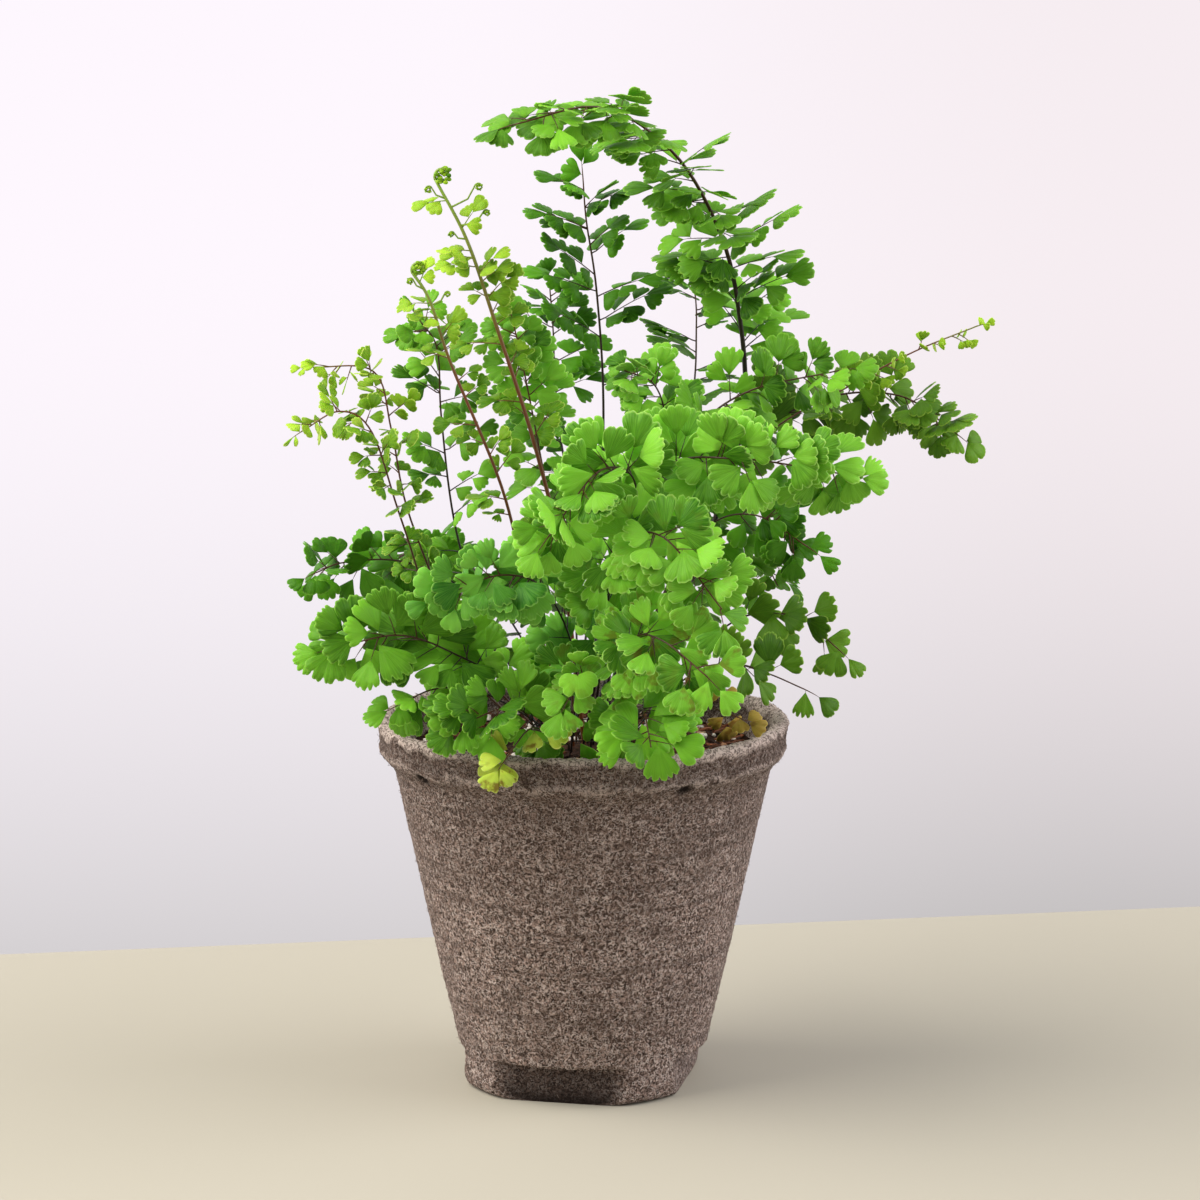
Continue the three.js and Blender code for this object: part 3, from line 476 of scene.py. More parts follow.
soil_points = [np.array([0.0, 0.0, SOIL_PROFILE[0][1]])]
turns = turns_of(SOIL_COLUMNS)
for radius, height in SOIL_PROFILE:
    soil_points += [np.array([radius * math.cos(turn), radius * math.sin(turn), height]) for turn in turns]
for level in range(SOIL_RINGS):
    radius = SOIL_EDGE * (1 - level / SOIL_RINGS)
    for turn in turns:
        x, y = radius * math.cos(turn), radius * math.sin(turn)
        crumble = (1.0 * roughly((x, y, 0), 3.2, 2.3) + 0.6 * roughly((x, y, 0), 1.4, 6.1)) if level else 0
        soil_points.append(np.array([x, y, soil_height(x, y) + crumble - 0.3]))
soil_points.append(np.array([0.0, 0.0, soil_height(0, 0) - 0.3]))
soil_rows = len(SOIL_PROFILE) + SOIL_RINGS
last = len(soil_points) - 1
last_ring = last - SOIL_COLUMNS
soil_triangles = np.concatenate([
    grid_triangles(soil_rows, SOIL_COLUMNS, 1),
    [[0, 1 + (step + 1) % SOIL_COLUMNS, 1 + step] for step in range(SOIL_COLUMNS)],
    [[last, last_ring + step, last_ring + (step + 1) % SOIL_COLUMNS] for step in range(SOIL_COLUMNS)]])

# Damp peat fines: nearly black in the gaps, dull brown on their tops
fines, tree, shader = new_material("damp peat fines", Roughness=0.95, Specular_IOR_Level=0.2)
place = add(tree, "TexCoord", output="Object")
grains = add(tree, "TexNoise", {"Vector": place, "Scale": 1 / (1.1 * MM), "Detail": 5.0})
top = add(tree, "MapRange", {0: grains, 1: 0.35, 2: 0.7})
tree.links.new(add(tree, "Mix", {0: top, 6: "140d09", 7: "4a3022"}, 2, data_type="RGBA"),
               shader.inputs["Base Color"])
tree.links.new(add(tree, "Bump", {"Strength": 1.0, "Distance": 0.5 * MM, "Height": grains}),
               shader.inputs["Normal"])
soil = mesh_piece("compost", soil_points, soil_triangles, [fines])
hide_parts("soil")
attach(soil, "root")


def strewn(draw, inner, outer):
    """A place on the filling between two radii."""
    radius = math.sqrt(draw.uniform(inner * inner, outer * outer))
    angle = draw.uniform(0, 2 * math.pi)
    x, y = radius * math.cos(angle), radius * math.sin(angle)
    return np.array([x, y, soil_height(x, y)])


draw = random.Random(23)
bark_points, bark_triangles, bark_tone = [], [], []
for _ in range(BARK_SHREDS):
    spot = strewn(draw, 6, 49.5)
    length = draw.uniform(2, 8)
    if math.hypot(spot[0], spot[1]) + length / 2 > 50:
        length = SHORT_SHRED
    width, thick = draw.uniform(0.5, 1.6), draw.uniform(0.3, 0.8)
    turn, tip_up = draw.uniform(0, 2 * math.pi), math.radians(draw.uniform(-14, 22))
    forward = np.array([math.cos(turn) * math.cos(tip_up), math.sin(turn) * math.cos(tip_up),
                        math.sin(tip_up)])
    beside = np.array([-math.sin(turn), math.cos(turn), draw.uniform(-0.4, 0.4)])
    above = np.cross(forward, beside)
    shred = []
    for share, taper in ((-0.5, draw.uniform(0.3, 0.8)), (-0.1, 1.0), (0.2, draw.uniform(0.8, 1.1)),
                         (0.5, draw.uniform(0.2, 0.7))):
        middle = spot + forward * length * share + above * draw.uniform(0.1, 0.5)
        for across, up in ((1, 1), (-1, 1), (-1, -1), (1, -1)):
            shred.append(middle + beside * across * width / 2 * taper * draw.uniform(0.8, 1.1)
                         + above * up * thick / 2 * taper)
    tone = draw.random()
    axis = spot[:2] + np.outer(np.linspace(-0.5, 0.5, 13), forward[:2]) * length
    if min(np.hypot(*(axis - foot[:2]).T).min() for foot in feet.values()) < STIPE_CLEAR + width / 2:
        continue
    start = len(bark_points)
    bark_points += shred
    for level in range(3):
        for corner in range(4):
            a, b = start + level * 4 + corner, start + level * 4 + (corner + 1) % 4
            bark_triangles += [[a, b + 4, b], [a, a + 4, b + 4]]
    bark_triangles += [[start, start + 1, start + 2], [start, start + 2, start + 3],
                       [start + 12, start + 14, start + 13], [start + 12, start + 15, start + 14]]
    bark_tone += [tone] * 16

# Composted bark: dull, split along the grain, from dark brown to fox red and a few pale shreds
bark, tree, shader = new_material("composted bark", Roughness=0.85, Specular_IOR_Level=0.25)
place = add(tree, "TexCoord", output="Object")
tone = add(tree, "Attribute", output="Fac", attribute_name="tone")
splits = add(tree, "TexNoise", {"Vector": place, "Scale": 1 / (0.7 * MM), "Detail": 4.0})
fox = add(tree, "MapRange", {0: tone, 1: 0.1, 2: 0.75})
bleached = add(tree, "MapRange", {0: tone, 1: 0.85, 2: 0.95})
split = add(tree, "MapRange", {0: splits, 1: 0.45, 2: 0.75})
colour = "34211a"
for share, shade in ((fox, "8e5538"), (bleached, "b8987a"), (split, "20130d")):
    colour = add(tree, "Mix", {0: share, 6: colour, 7: shade}, 2, data_type="RGBA")
tree.links.new(colour, shader.inputs["Base Color"])
shreds = mesh_piece("bark_shreds", bark_points, bark_triangles, [bark], flat=[True] * len(bark_triangles),
                    marks={"tone": bark_tone})
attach(shreds, "root")

# Expanded perlite: chalk white, porous and matt
perlite, tree, shader = new_material("expanded perlite", Roughness=0.85, Specular_IOR_Level=0.2)
place = add(tree, "TexCoord", output="Object")
pores = add(tree, "TexNoise", {"Vector": place, "Scale": 1 / (0.5 * MM), "Detail": 3.0})
pores = add(tree, "MapRange", {0: pores, 1: 0.3, 2: 0.6})
tree.links.new(add(tree, "Mix", {0: pores, 6: "b0a69c", 7: "e8e2da"}, 2, data_type="RGBA"),
               shader.inputs["Base Color"])


def lump(centre, sizes, turn, rough, draw):
    """The points of a rough pebble, from its top down."""
    points = []
    for level, count in ((90, 1), (50, 7), (18, 10), (-14, 10), (-48, 7), (-90, 1)):
        for step in range(count):
            around = 2 * math.pi * (step + 0.5 * (count % 3)) / count + turn
            lift = math.radians(level)
            reach = 1 + draw.uniform(-rough, rough)
            points.append(centre + reach * np.array([
                sizes[0] * math.cos(around) * math.cos(lift), sizes[1] * math.sin(around) * math.cos(lift),
                sizes[2] * math.sin(lift)]))
    return points


def hull_triangles(points):
    """The convex skin of a few points, as triangles that face outwards."""
    work = bmesh.new()
    corners = [work.verts.new(point) for point in points]
    work.verts.index_update()
    bmesh.ops.convex_hull(work, input=corners)
    faces = [[corner.index for corner in face.verts] for face in work.faces]
    work.free()
    return faces


for name, count, seed, low, high, rough in CRUMBS:
    draw = random.Random(seed)
    points, triangles = [], []
    for _ in range(count):
        size = draw.uniform(low, high)
        spot = strewn(draw, 10, 49 - size) + np.array([0, 0, size * 0.35])
        clear = STIPE_CLEAR + size * LONGEST_CRUMB
        for foot in list(feet.values()) * 8:
            away = spot[:2] - foot[:2]
            gap = np.linalg.norm(away)
            if gap < clear:
                spot[:2] = foot[:2] + away / gap * clear
        made = lump(spot, (size * draw.uniform(0.8, 1.3), size, size * draw.uniform(0.6, 0.9)),
                    draw.uniform(0, 6), rough, draw)
        triangles += [[corner + len(points) for corner in face] for face in hull_triangles(made)]
        points += made
    crumb = mesh_piece(name, points, triangles, [perlite if name == "perlite" else fines],
                       flat=[True] * len(triangles))
    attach(crumb, "root")

# Fronds
# Each grows from the soil on one polished wiry stipe and carries thin ribs with fan-shaped
# leaflets on hair-fine stalks. One object stands for one frond. The first values repeat the CAD
# model's: they say where its ribs and leaflets are.
# Its stipes rise straight to this height and then have a step for each mark and a few more.
KNEE_Z = 101
EXTRA_STEPS = 3
# Its blades: length beside the leaflet's, half thickness, cup and droop, how far they start from a
# ring of the stipe, how deep an end one is sunk, the bare rib, the shortest blade and the lean
LEAF_SCALE = 1.15
BLADE_HALF = 0.33
CUP = 0.005
DROOP = 0.16
RING_MARGIN = 0.2
TIP_SUNK = 1.2
RIB_BARE = 2.2
SHORTEST_PINNA = 1.27
LEAN_TO_TIP = 32
# How much narrower a frond is at its tip, and by what share of that its leaflets are smaller
NARROWING = 0.42
SMALLER_LEAVES = 0.18
# Where the CAD model tries a pinna, best first: share of its length, swing and lift in degrees
PLACES = [
    (1, 0, 0), (1, 0, 12), (1, 0, -12), (1, 14, 0), (1, -14, 0),
    (0.86, 0, 0), (0.86, 0, 20), (0.86, 0, -20), (0.86, 14, 14), (0.86, -14, -14),
    (0.86, 14, -14), (0.86, -14, 14), (0.7, 0, 0), (0.7, 0, 28), (0.7, 0, -28),
    (0.7, 22, 0), (0.7, -22, 0), (0.55, 0, 0), (0.55, 0, 28), (0.55, 0, -28),
    (0.55, 24, 14), (0.55, -24, -14), (0.55, 24, -14), (0.55, -24, 14),
]
# Name, tone, bare share, pinnae, longest reach, leaflet length, stipe radius, spread, face, way, then
# how many further ribs it bears at most beyond those of the CAD model and from what share of its length
Frond = namedtuple("Frond", "name tone bare pinnae reach leaf stem spread facing way further start")
FRONDS = [Frond(*row) for row in (
    ("tall_arch", "mid", 0.4, 9, 27, 10, 1, (1, -0.3, 0), (0.1, -0.5, 0.85),
     [(34, 18, 151), (47, 26, 191), (45, 24, 227), (38, 16, 251), (25, 2, 272), (5, -14, 285),
      (-19, -27, 281)], 44, 0.36),
    ("front_main", "bright", 0.52, 6, 19, 10.5, 0.7, (0, -0.3, 1), (0, -0.85, 0.5),
     [(16, -22, 158), (23, -44, 187), (43, -58, 192), (72, -60, 188)], 44, 0.38),
    ("front_main_left", "bright", 0.55, 5, 18, 11, 0.65, (0.3, -0.2, 1), (0, -0.9, 0.45),
     [(8, -26, 147), (15, -48, 182), (5, -60, 189), (-9, -74, 173)], 40, 0.38),
    ("front_mid", "bright", 0.5, 5, 19, 11, 0.65, (0.4, 0, 1), (0.1, -0.9, 0.4),
     [(6, -30, 136), (10, -54, 166), (22, -68, 172), (38, -79, 154)], 44, 0.25),
    ("front_lower", "bright", 0.5, 4, 16, 10.5, 0.6, (0.3, 0, 1), (0, -0.9, 0.4),
     [(8, -40, 124), (14, -60, 142), (22, -72, 144), (34, -82, 136)], 36, 0.22),
    ("left_low", "mid", 0.42, 5, 17, 11, 0.6, (0, -0.4, 1), (-0.1, -0.85, 0.5),
     [(-19, -26, 121), (-34, -44, 134), (-50, -54, 142), (-68, -56, 139)], 26, 0.25),
    ("left_mid", "dark", 0.42, 5, 17, 8.5, 0.6, (0, -0.5, 0.9), (-0.1, -0.75, 0.65),
     [(-25, 24, 123), (-38, 32, 141), (-54, 26, 149), (-70, 18, 150), (-78, 12, 148)], 16, 0.3),
    ("right_far", "dark", 0.45, 6, 19, 9.5, 0.7, (0, -0.6, 0.8), (0.1, -0.7, 0.7),
     [(29, 26, 149), (46, 34, 181), (70, 34, 196), (93, 28, 198), (109, 21, 188)], 28, 0.33),
    ("back_centre", "dark", 0.5, 6, 25, 8.5, 0.7, (1, 0.1, 0), (0, -0.4, 0.9),
     [(5, 30, 149), (6, 38, 195), (4, 36, 228), (1, 33, 249), (0, 31, 262)], 8, 0.42),
    ("crozier_tall", "pale", 0.6, 4, 15, 6, 0.85, (1, -0.2, 0.1), (0, -0.6, 0.8),
     [(-6, -8, 155), (-14, -9, 190), (-25, -6, 224), (-33, -3, 247), (-42, 0, 264)], 13, 0.4),
    ("crozier_left", "pale", 0.62, 3, 12, 6, 0.7, (1, -0.2, 0.1), (0, -0.6, 0.8),
     [(-15, -14, 145), (-23, -17, 178), (-37, -18, 213), (-43, -17, 231), (-48, -16, 239)], 14, 0.3),
    ("right_slender", "pale", 0.55, 4, 10, 5, 0.6, (0, -0.6, 0.8), (-0.2, -0.7, 0.7),
     [(31, 10, 158), (52, 14, 187), (78, 14, 203), (96, 12, 213), (114, 8, 221)], 6, 0.45),
    ("far_left_high", "pale", 0.5, 4, 14, 5.5, 0.6, (0.3, -0.6, 0.6), (0, -0.6, 0.8),
     [(-33, -6, 128), (-49, -14, 168), (-54, -18, 194), (-59, -18, 211), (-77, -16, 212)], 16, 0.25),
    ("far_left_low", "pale", 0.48, 4, 13, 6, 0.6, (0.2, -0.6, 0.7), (0, -0.7, 0.7),
     [(-38, -14, 130), (-51, -24, 169), (-59, -28, 195), (-68, -28, 201), (-79, -26, 195)], 16, 0.25),
    ("left_dark", "mid", 0.48, 4, 20, 7.5, 0.65, (1, -0.2, 0), (0, -0.55, 0.85),
     [(-27, 10, 128), (-37, 14, 160), (-41, 12, 193), (-42, 9, 214), (-47, 6, 223)], 16, 0.25),
    ("right_upper", "mid", 0.48, 4, 20, 10, 0.7, (0, -0.6, 0.8), (0, -0.7, 0.7),
     [(21, 4, 165), (32, 2, 190), (47, -2, 203), (73, -8, 210)], 24, 0.35),
    ("right_dark", "dark", 0.5, 4, 18, 9.5, 0.6, (0, -0.4, 1), (0.1, -0.8, 0.6),
     [(24, 14, 139), (36, 12, 161), (50, 6, 166), (65, -2, 158)], 14, 0.35),
    ("right_mid", "dark", 0.42, 4, 16, 9.5, 0.6, (0, -0.4, 1), (0.1, -0.85, 0.5),
     [(32, 22, 121), (48, 28, 132), (64, 26, 132), (75, 20, 124)], 1, 0.45),
    ("right_low", "dark", 0.4, 4, 14, 10, 0.55, (0, -0.5, 1), (0.1, -0.85, 0.5),
     [(28, 2, 117), (41, 2, 123), (53, -2, 121), (64, -6, 117)], 1, 0.45),
    ("centre_left", "blue", 0.5, 4, 15, 9.5, 0.6, (0, -0.3, 1), (-0.1, -0.85, 0.5),
     [(-2, -34, 131), (-10, -52, 154), (-22, -60, 160), (-38, -64, 155)], 28, 0.2),
    ("centre_bright", "bright", 0.6, 4, 15, 8, 0.6, (1, -0.3, 0.1), (0, -0.7, 0.7),
     [(-7, 4, 153), (-13, 4, 188), (-17, 4, 209), (-20, 3, 223)], 26, 0.15),
    ("upper_bright", "bright", 0.55, 3, 15, 9, 0.6, (1, -0.4, 0.2), (0, -0.7, 0.7),
     [(20, 18, 163), (24, 16, 189), (21, 12, 203), (12, 8, 208)], 18, 0.15),
    ("front_left", "mid", 0.5, 3, 13, 10.5, 0.55, (0, -0.5, 0.9), (-0.1, -0.8, 0.6),
     [(-14, -40, 114), (-20, -55, 122), (-32, -62, 119)], 30, 0.15),
    ("left_rim", "mid", 0.5, 3, 13, 10.5, 0.55, (0, -0.5, 0.9), (-0.1, -0.8, 0.6),
     [(-18, -28, 115), (-30, -42, 124), (-41, -50, 126), (-50, -55, 123)], 6, 0.35),
    ("front_right", "mid", 0.5, 3, 14, 12, 0.55, (1, 0, 0), (0, -0.85, 0.5),
     [(15, -43, 116), (17, -60, 122), (19, -71, 114)], 26, 0.2),
    ("yellow_front", "yellow", 0.5, 2, 12, 10, 0.55, (0.5, -0.3, 0.3), (0, -0.75, 0.65),
     [(-11, -43, 112), (-15, -58, 116), (-21, -68, 110)], 2, 0.5),
    ("heart_front", "bright", 0.9, 0, 22, 9, 0.5, (1, 0, 0.3), (0, -0.9, 0.4),
     [(-2, -40, 113), (1, -50, 126), (0, -56, 132)], 20, 0.2),
    ("brown_right", "brown", 0.5, 2, 12, 8, 0.5, (0, -0.5, 0.9), (0.2, -0.8, 0.5),
     [(26, -20, 112), (34, -30, 117), (44, -36, 115)], 3, 0.4),
    ("back_left", "dark", 0.55, 3, 20, 8, 0.6, (1, 0.2, 0), (0, -0.4, 0.9),
     [(-4, 40, 159), (-8, 48, 194), (-9, 50, 215), (-10, 50, 228)], 16, 0.1),
    ("back_right", "dark", 0.52, 4, 23, 9, 0.65, (1, 0.2, 0), (0.1, 0.3, 0.9),
     [(20, 36, 150), (32, 52, 190), (34, 60, 216), (33, 64, 230)], 14, 0.1),
    ("back_mid", "dark", 0.5, 3, 21, 9.5, 0.65, (1, 0, 0), (0, 0.55, 0.8),
     [(2, 44, 138), (0, 62, 164), (-4, 78, 168), (-6, 92, 158)], 20, 0.1),
    ("back_low_left", "dark", 0.45, 3, 18, 9.5, 0.6, (0.6, 0.5, 0), (-0.3, 0.5, 0.8),
     [(-20, 38, 126), (-38, 56, 146), (-54, 68, 144), (-62, 74, 136)], 18, 0.1),
    ("back_low_right", "dark", 0.45, 3, 18, 9.5, 0.6, (0.6, -0.5, 0), (0.3, 0.5, 0.8),
     [(22, 40, 126), (40, 58, 144), (54, 70, 142), (60, 78, 132)], 10, 0.1),
)]
# How leaflets that hang loose are turned about their own length: the mean and the spread, in radians
LOOSE = {"right_slender": (1.1, 0.3), "far_left_high": (0.5, 0.5), "far_left_low": (0.4, 0.4),
         "crozier_left": (0.1, 0.4)}
# How long a frond's leaflets are beside the CAD model's, where that isn't USUAL_SIZE
LEAF_SIZES = {"left_low": 1.25, "left_mid": 1.2, "front_left": 0.95, "front_right": 1.2, "right_mid": 1.2,
              "right_low": 1.2, "right_far": 1.05, "right_dark": 1.0, "front_main": 1.02,
              "front_main_left": 1.08, "front_mid": 1.05, "front_lower": 1.08, "centre_left": 1.15}
# Fronds whose leaves have turned olive
OLIVE = ("right_far", "right_mid", "right_low")
# Coiled tips: the radius of a frond's own, then small side ones by place, way, length and radius
COILS = {
    "crozier_tall": (2.3, [(0.9, (1.0, 0, 0.5), 9, 1.1), (0.93, (-0.8, 0, 0.3), 5, 1.0),
                           (0.84, (0.9, -0.2, 0.2), 8, 0.9), (0.8, (-0.9, 0, 0.1), 4, 0.8)]),
    "crozier_left": (2.0, [(0.86, (-0.6, -0.1, 0.3), 4, 0.9), (0.78, (0.8, 0, 0.4), 5, 0.8)]),
}
# How young a stipe is low down and at its tip, where that isn't USUAL_YOUNG: 0 is black, 1 is green
YOUNG = {"crozier_tall": (0.45, 1.0), "crozier_left": (0.4, 1.0), "right_slender": (0.1, 0.8),
         "far_left_high": (0.2, 0.7), "far_left_low": (0.2, 0.7), "centre_bright": (0.15, 0.5)}
# How much a frond's leaves are spoiled by brown blotches
AGED = {"yellow_front": 0.8, "brown_right": 0.6, "front_lower": 0.5, "front_mid": 0.15, "heart_front": 0.3}
# The one leaflet that hangs down like a heart: where from its stipe's end, its way and face, its size
HEART_SHIFT = np.array([-1.2, -7.0, 0.6])
HEART_WAYS = (np.array([0, -0.243, -0.970]), np.array([0, -0.970, 0.243]))
HEART_SIZE = 6.8
HEART_CUTS = [(-0.14, 0.3), (-0.5, 0.12), (0.42, 0.14)]
HEART_OPENING = math.radians(118)
# A coiled tip: how often it winds, its steps and the folded leaflets on it
COIL_TURNS = 1.35
COIL_STEPS = 23
COIL_LEAVES = 30
# How often a further rib is tried, and how far it stays from others, from its own frond and in the box
TRIES = 24
CLEAR_OTHERS = 0.8
CLEAR_OWN = 0.35
BOX_MARGIN = 0.8
# Over the pot a further leaflet hangs no lower than this, beside the middle and in it: the radius of
# the rim, then the least height beyond it and within it
OVER_POT = 68
MIDDLE_HALF = 22
BESIDE_LOWEST = (50, 113.5, 106)
MIDDLE_LOWEST = (52, 110, 101)
# Leaflets: thickness, width of a tooth, from which length they are large, their usual length beside
# the CAD model's, their pitch beside that length, and the shortest rib beside its leaflets
BLADE_THICK = 0.2
TOOTH = 1.15
LARGE_LEAF = 7
USUAL_SIZE = 0.87
REAL_PITCH = 0.82
SHORTEST_RIB = 1.3
USUAL_YOUNG = (0.0, 0.3)
# The corners of the coarse prisms, and a frond's two materials by their place in it
PRISM = ((1, 0, 0), (-0.5, 0.87, 0), (-0.5, -0.87, 0))
BLADE, STIPE = 0, 1
# Leaflets bent clear of another frond's, by frond, rib and number on it: the turn in radians
BENT_CLEAR = {("front_mid", 20, 0): 0.35, ("front_main_left", 9, 1): 0.35}


def scatter(row, column):
    """The CAD model's seeded draw."""
    value = math.sin(row * 12.9898 + column * 78.233) * 43758.5453
    return value - math.floor(value)


def unit(vector):
    return vector / np.linalg.norm(vector)


def made_square(vector, to):
    """The vector without its share along another, at length one."""
    return unit(vector - np.dot(vector, to) * to)


def turned_by(vector, axis, angle):
    """The vector turned about an axis."""
    return (vector * math.cos(angle) + np.cross(axis, vector) * math.sin(angle)
            + axis * np.dot(axis, vector) * (1 - math.cos(angle)))


def on_curve(marks, at):
    """A point on the smooth curve through the marks."""
    last = len(marks) - 1
    step = min(int(last * at), last - 1)
    share = last * at - step
    here, there = marks[step], marks[step + 1]
    before = marks[step - 1] if step else 2 * here - there
    after = marks[step + 2] if step + 2 <= last else 2 * there - here
    leave, arrive = 0.5 * (there - before), 0.5 * (after - here)
    return (here + leave * share + (3 * (there - here) - 2 * leave - arrive) * share ** 2
            + (2 * (here - there) + leave + arrive) * share ** 3)


def heading_at(marks, at):
    """The way the curve runs there."""
    return unit(on_curve(marks, min(1, at + 0.01)) - on_curve(marks, max(0, at - 0.01)))


def leaf_face(up, along, tilt):
    """The way a rib's leaflets face: as far up as the rib allows, then tilted about it."""
    flat_normal = made_square(up, along)
    return flat_normal * math.cos(tilt) + np.cross(flat_normal, along) * math.sin(tilt)


def frond_frame(frond, marks, at):
    """The way a frond runs at a share of its length, and how its ribs spread and its leaves face there."""
    heading = heading_at(marks, at)
    return heading, made_square(np.array(frond.spread, float), heading), unit(np.array(frond.facing, float))


def pinna_places(frond, owner, marks, centres, at, number, side, terminal):
    """Where the CAD model may have put a pinna: its base, way, face, length and leaflet length."""
    heading, spread, up = frond_frame(frond, marks, at)
    steps = len(centres) - 2
    step = min(int(at * steps), steps - 1)
    base = centres[step + 1] + (centres[step + 2] - centres[step + 1]) * (at * steps - step)
    if terminal:
        base = base - heading * TIP_SUNK
    lean = math.radians(90 if terminal else LEAN_TO_TIP + 10 * (scatter(owner, number) - 0.5))
    straight = spread * side * math.cos(lean) + heading * math.sin(lean)
    share = 0.5 if terminal else 1 - NARROWING * ((at - frond.bare) / (1 - frond.bare))
    full = frond.reach * share * (1 if terminal else 0.92 + 0.16 * scatter(owner, number + 40))
    leaf = frond.leaf * LEAF_SCALE * (0.85 if terminal else 1 - SMALLER_LEAVES * (1 - share))
    tilt = math.radians((scatter(owner, number + 80) - 0.5) * 24)
    for scale, swing, lift in PLACES:
        swing, lift = math.radians(swing), math.radians(lift)
        normal = made_square(up, straight)
        beside = np.cross(normal, straight)
        swung = straight * math.cos(swing) + beside * side * math.sin(swing)
        along = unit(swung * math.cos(lift) + normal * math.sin(lift))
        yield base, along, leaf_face(up, along, tilt), max(full * scale, leaf * SHORTEST_RIB), leaf


def further_places(frond, marks, at, side, draw):
    """Where a rib that the CAD model leaves out may be, best first, drawn about the frond's plane."""
    heading, spread, up = frond_frame(frond, marks, at)
    other = np.cross(heading, spread)
    base = on_curve(marks, at)
    share = 1 - NARROWING * max(0, (at - frond.bare) / (1 - frond.bare))
    for number in range(TRIES):
        lean = math.radians(draw.uniform(16, 50))
        roll = math.radians(draw.uniform(-65, 65))
        outward = (spread * math.cos(roll) + other * math.sin(roll)) * side
        along = outward * math.cos(lean) + heading * math.sin(lean)
        leaf = frond.leaf * LEAF_SCALE * (1 - SMALLER_LEAVES * (1 - share)) * draw.uniform(0.85, 1.05)
        length = frond.reach * share * draw.uniform(0.65, 1.1) * (1 - 0.35 * number / TRIES)
        tilt = math.radians(draw.uniform(-16, 16))
        if abs(np.dot(along, up)) <= 0.85:
            yield base, along, leaf_face(up, along, tilt), max(length, leaf * SHORTEST_RIB), leaf


def rib_point(base, along, length, u):
    """A point on a drooping rib, at a distance from its base."""
    return base + along * u + np.array([0, 0, -DROOP * length * (max(0, u) / length) ** 2])


def rib_way(along, length, u):
    """The way a drooping rib runs at that distance."""
    return unit(along + np.array([0, 0, -2 * DROOP * u / length]))


def cad_tip(base, along, face, length, leaf):
    """The corner at the end of the CAD model's blade in that place."""
    across = np.cross(face, along)
    s = 0.14 * 0.9 * min(leaf, (length - RIB_BARE) / SHORTEST_PINNA)
    return rib_point(base, along, length, length) + across * s + face * (BLADE_HALF - CUP * s * s)


def plan_pinna(draw, name, loose, base, along, face, length, full_leaf):
    """The leaflets of one rib: each has its root on the rib, leaf root, way, normal and size."""
    leaf = min(full_leaf, (length - RIB_BARE) / SHORTEST_PINNA)
    real = LEAF_SIZES.get(name, USUAL_SIZE) * leaf
    end = length - 0.9 * leaf
    plan = []
    step = REAL_PITCH * real / 2
    at = RIB_BARE * 0.6 + 0.06 * leaf
    sign = draw.choice((1, -1))
    while at < end + 0.02 * leaf:
        tangent = rib_way(along, length, at)
        normal = made_square(face, tangent)
        beside = np.cross(normal, tangent) * sign
        angle = math.radians(66 - 22 * at / length + draw.uniform(-6, 6))
        plan.append((at, tangent * math.cos(angle) + beside * math.sin(angle), normal,
                     real * (1 - 0.2 * at / length) * draw.uniform(0.9, 1.08)))
        at += step * draw.uniform(0.9, 1.1)
        sign = -sign
    tangent = rib_way(along, length, end)
    plan.append((end, tangent, made_square(face, tangent), 0.92 * leaf))
    leaflets = []
    for at, forward, normal, size in plan:
        normal = turned_by(normal, forward, draw.gauss(*loose))
        side = np.cross(normal, forward)
        pitch = draw.uniform(-0.06, 0.22)
        forward, normal = turned_by(forward, side, pitch), turned_by(normal, side, pitch)
        root = rib_point(base, along, length, at)
        stalk = size * draw.uniform(0.06, 0.12)
        leaflets.append((root, root + forward * stalk, forward, normal, size - stalk))
    return leaflets, end


# What is filled: coarse fans for the leaflets and thin prisms for the stipes, each with its owner
filled_points, filled_faces, filled_owner = [], [], []


def fans_of(leaflets):
    """Coarse fans for leaflets, for seeing what crosses what."""
    points, faces = [], []
    for _, root, forward, normal, size in leaflets:
        side = np.cross(normal, forward)
        start = len(points)
        points.append(root)
        for turn in (-0.85, -0.45, 0, 0.45, 0.85):
            points.append(root + size * (1 - 0.12 * abs(turn)) * (
                forward * math.cos(turn) + side * math.sin(turn)) - normal * size * 0.08)
        faces += [(start, start + step, start + step + 1) for step in (1, 2, 3, 4)]
    return points, faces


def prism_of(line, radius):
    """A coarse prism along a line of points, open at its ends."""
    points, faces = [], []
    for centre in line:
        points += [centre + np.array(shift) * radius for shift in PRISM]
    for level in range(len(line) - 1):
        for corner in range(3):
            a, b = level * 3 + corner, level * 3 + (corner + 1) % 3
            faces += [(a, b, b + 3), (a, b + 3, a + 3)]
    return points, faces


def fill(points, faces, owner):
    """Adds to what is filled."""
    start = len(filled_points)
    filled_points.extend(Vector(point) for point in points)
    filled_faces.extend(tuple(corner + start for corner in face) for face in faces)
    filled_owner.extend([owner] * len(faces))


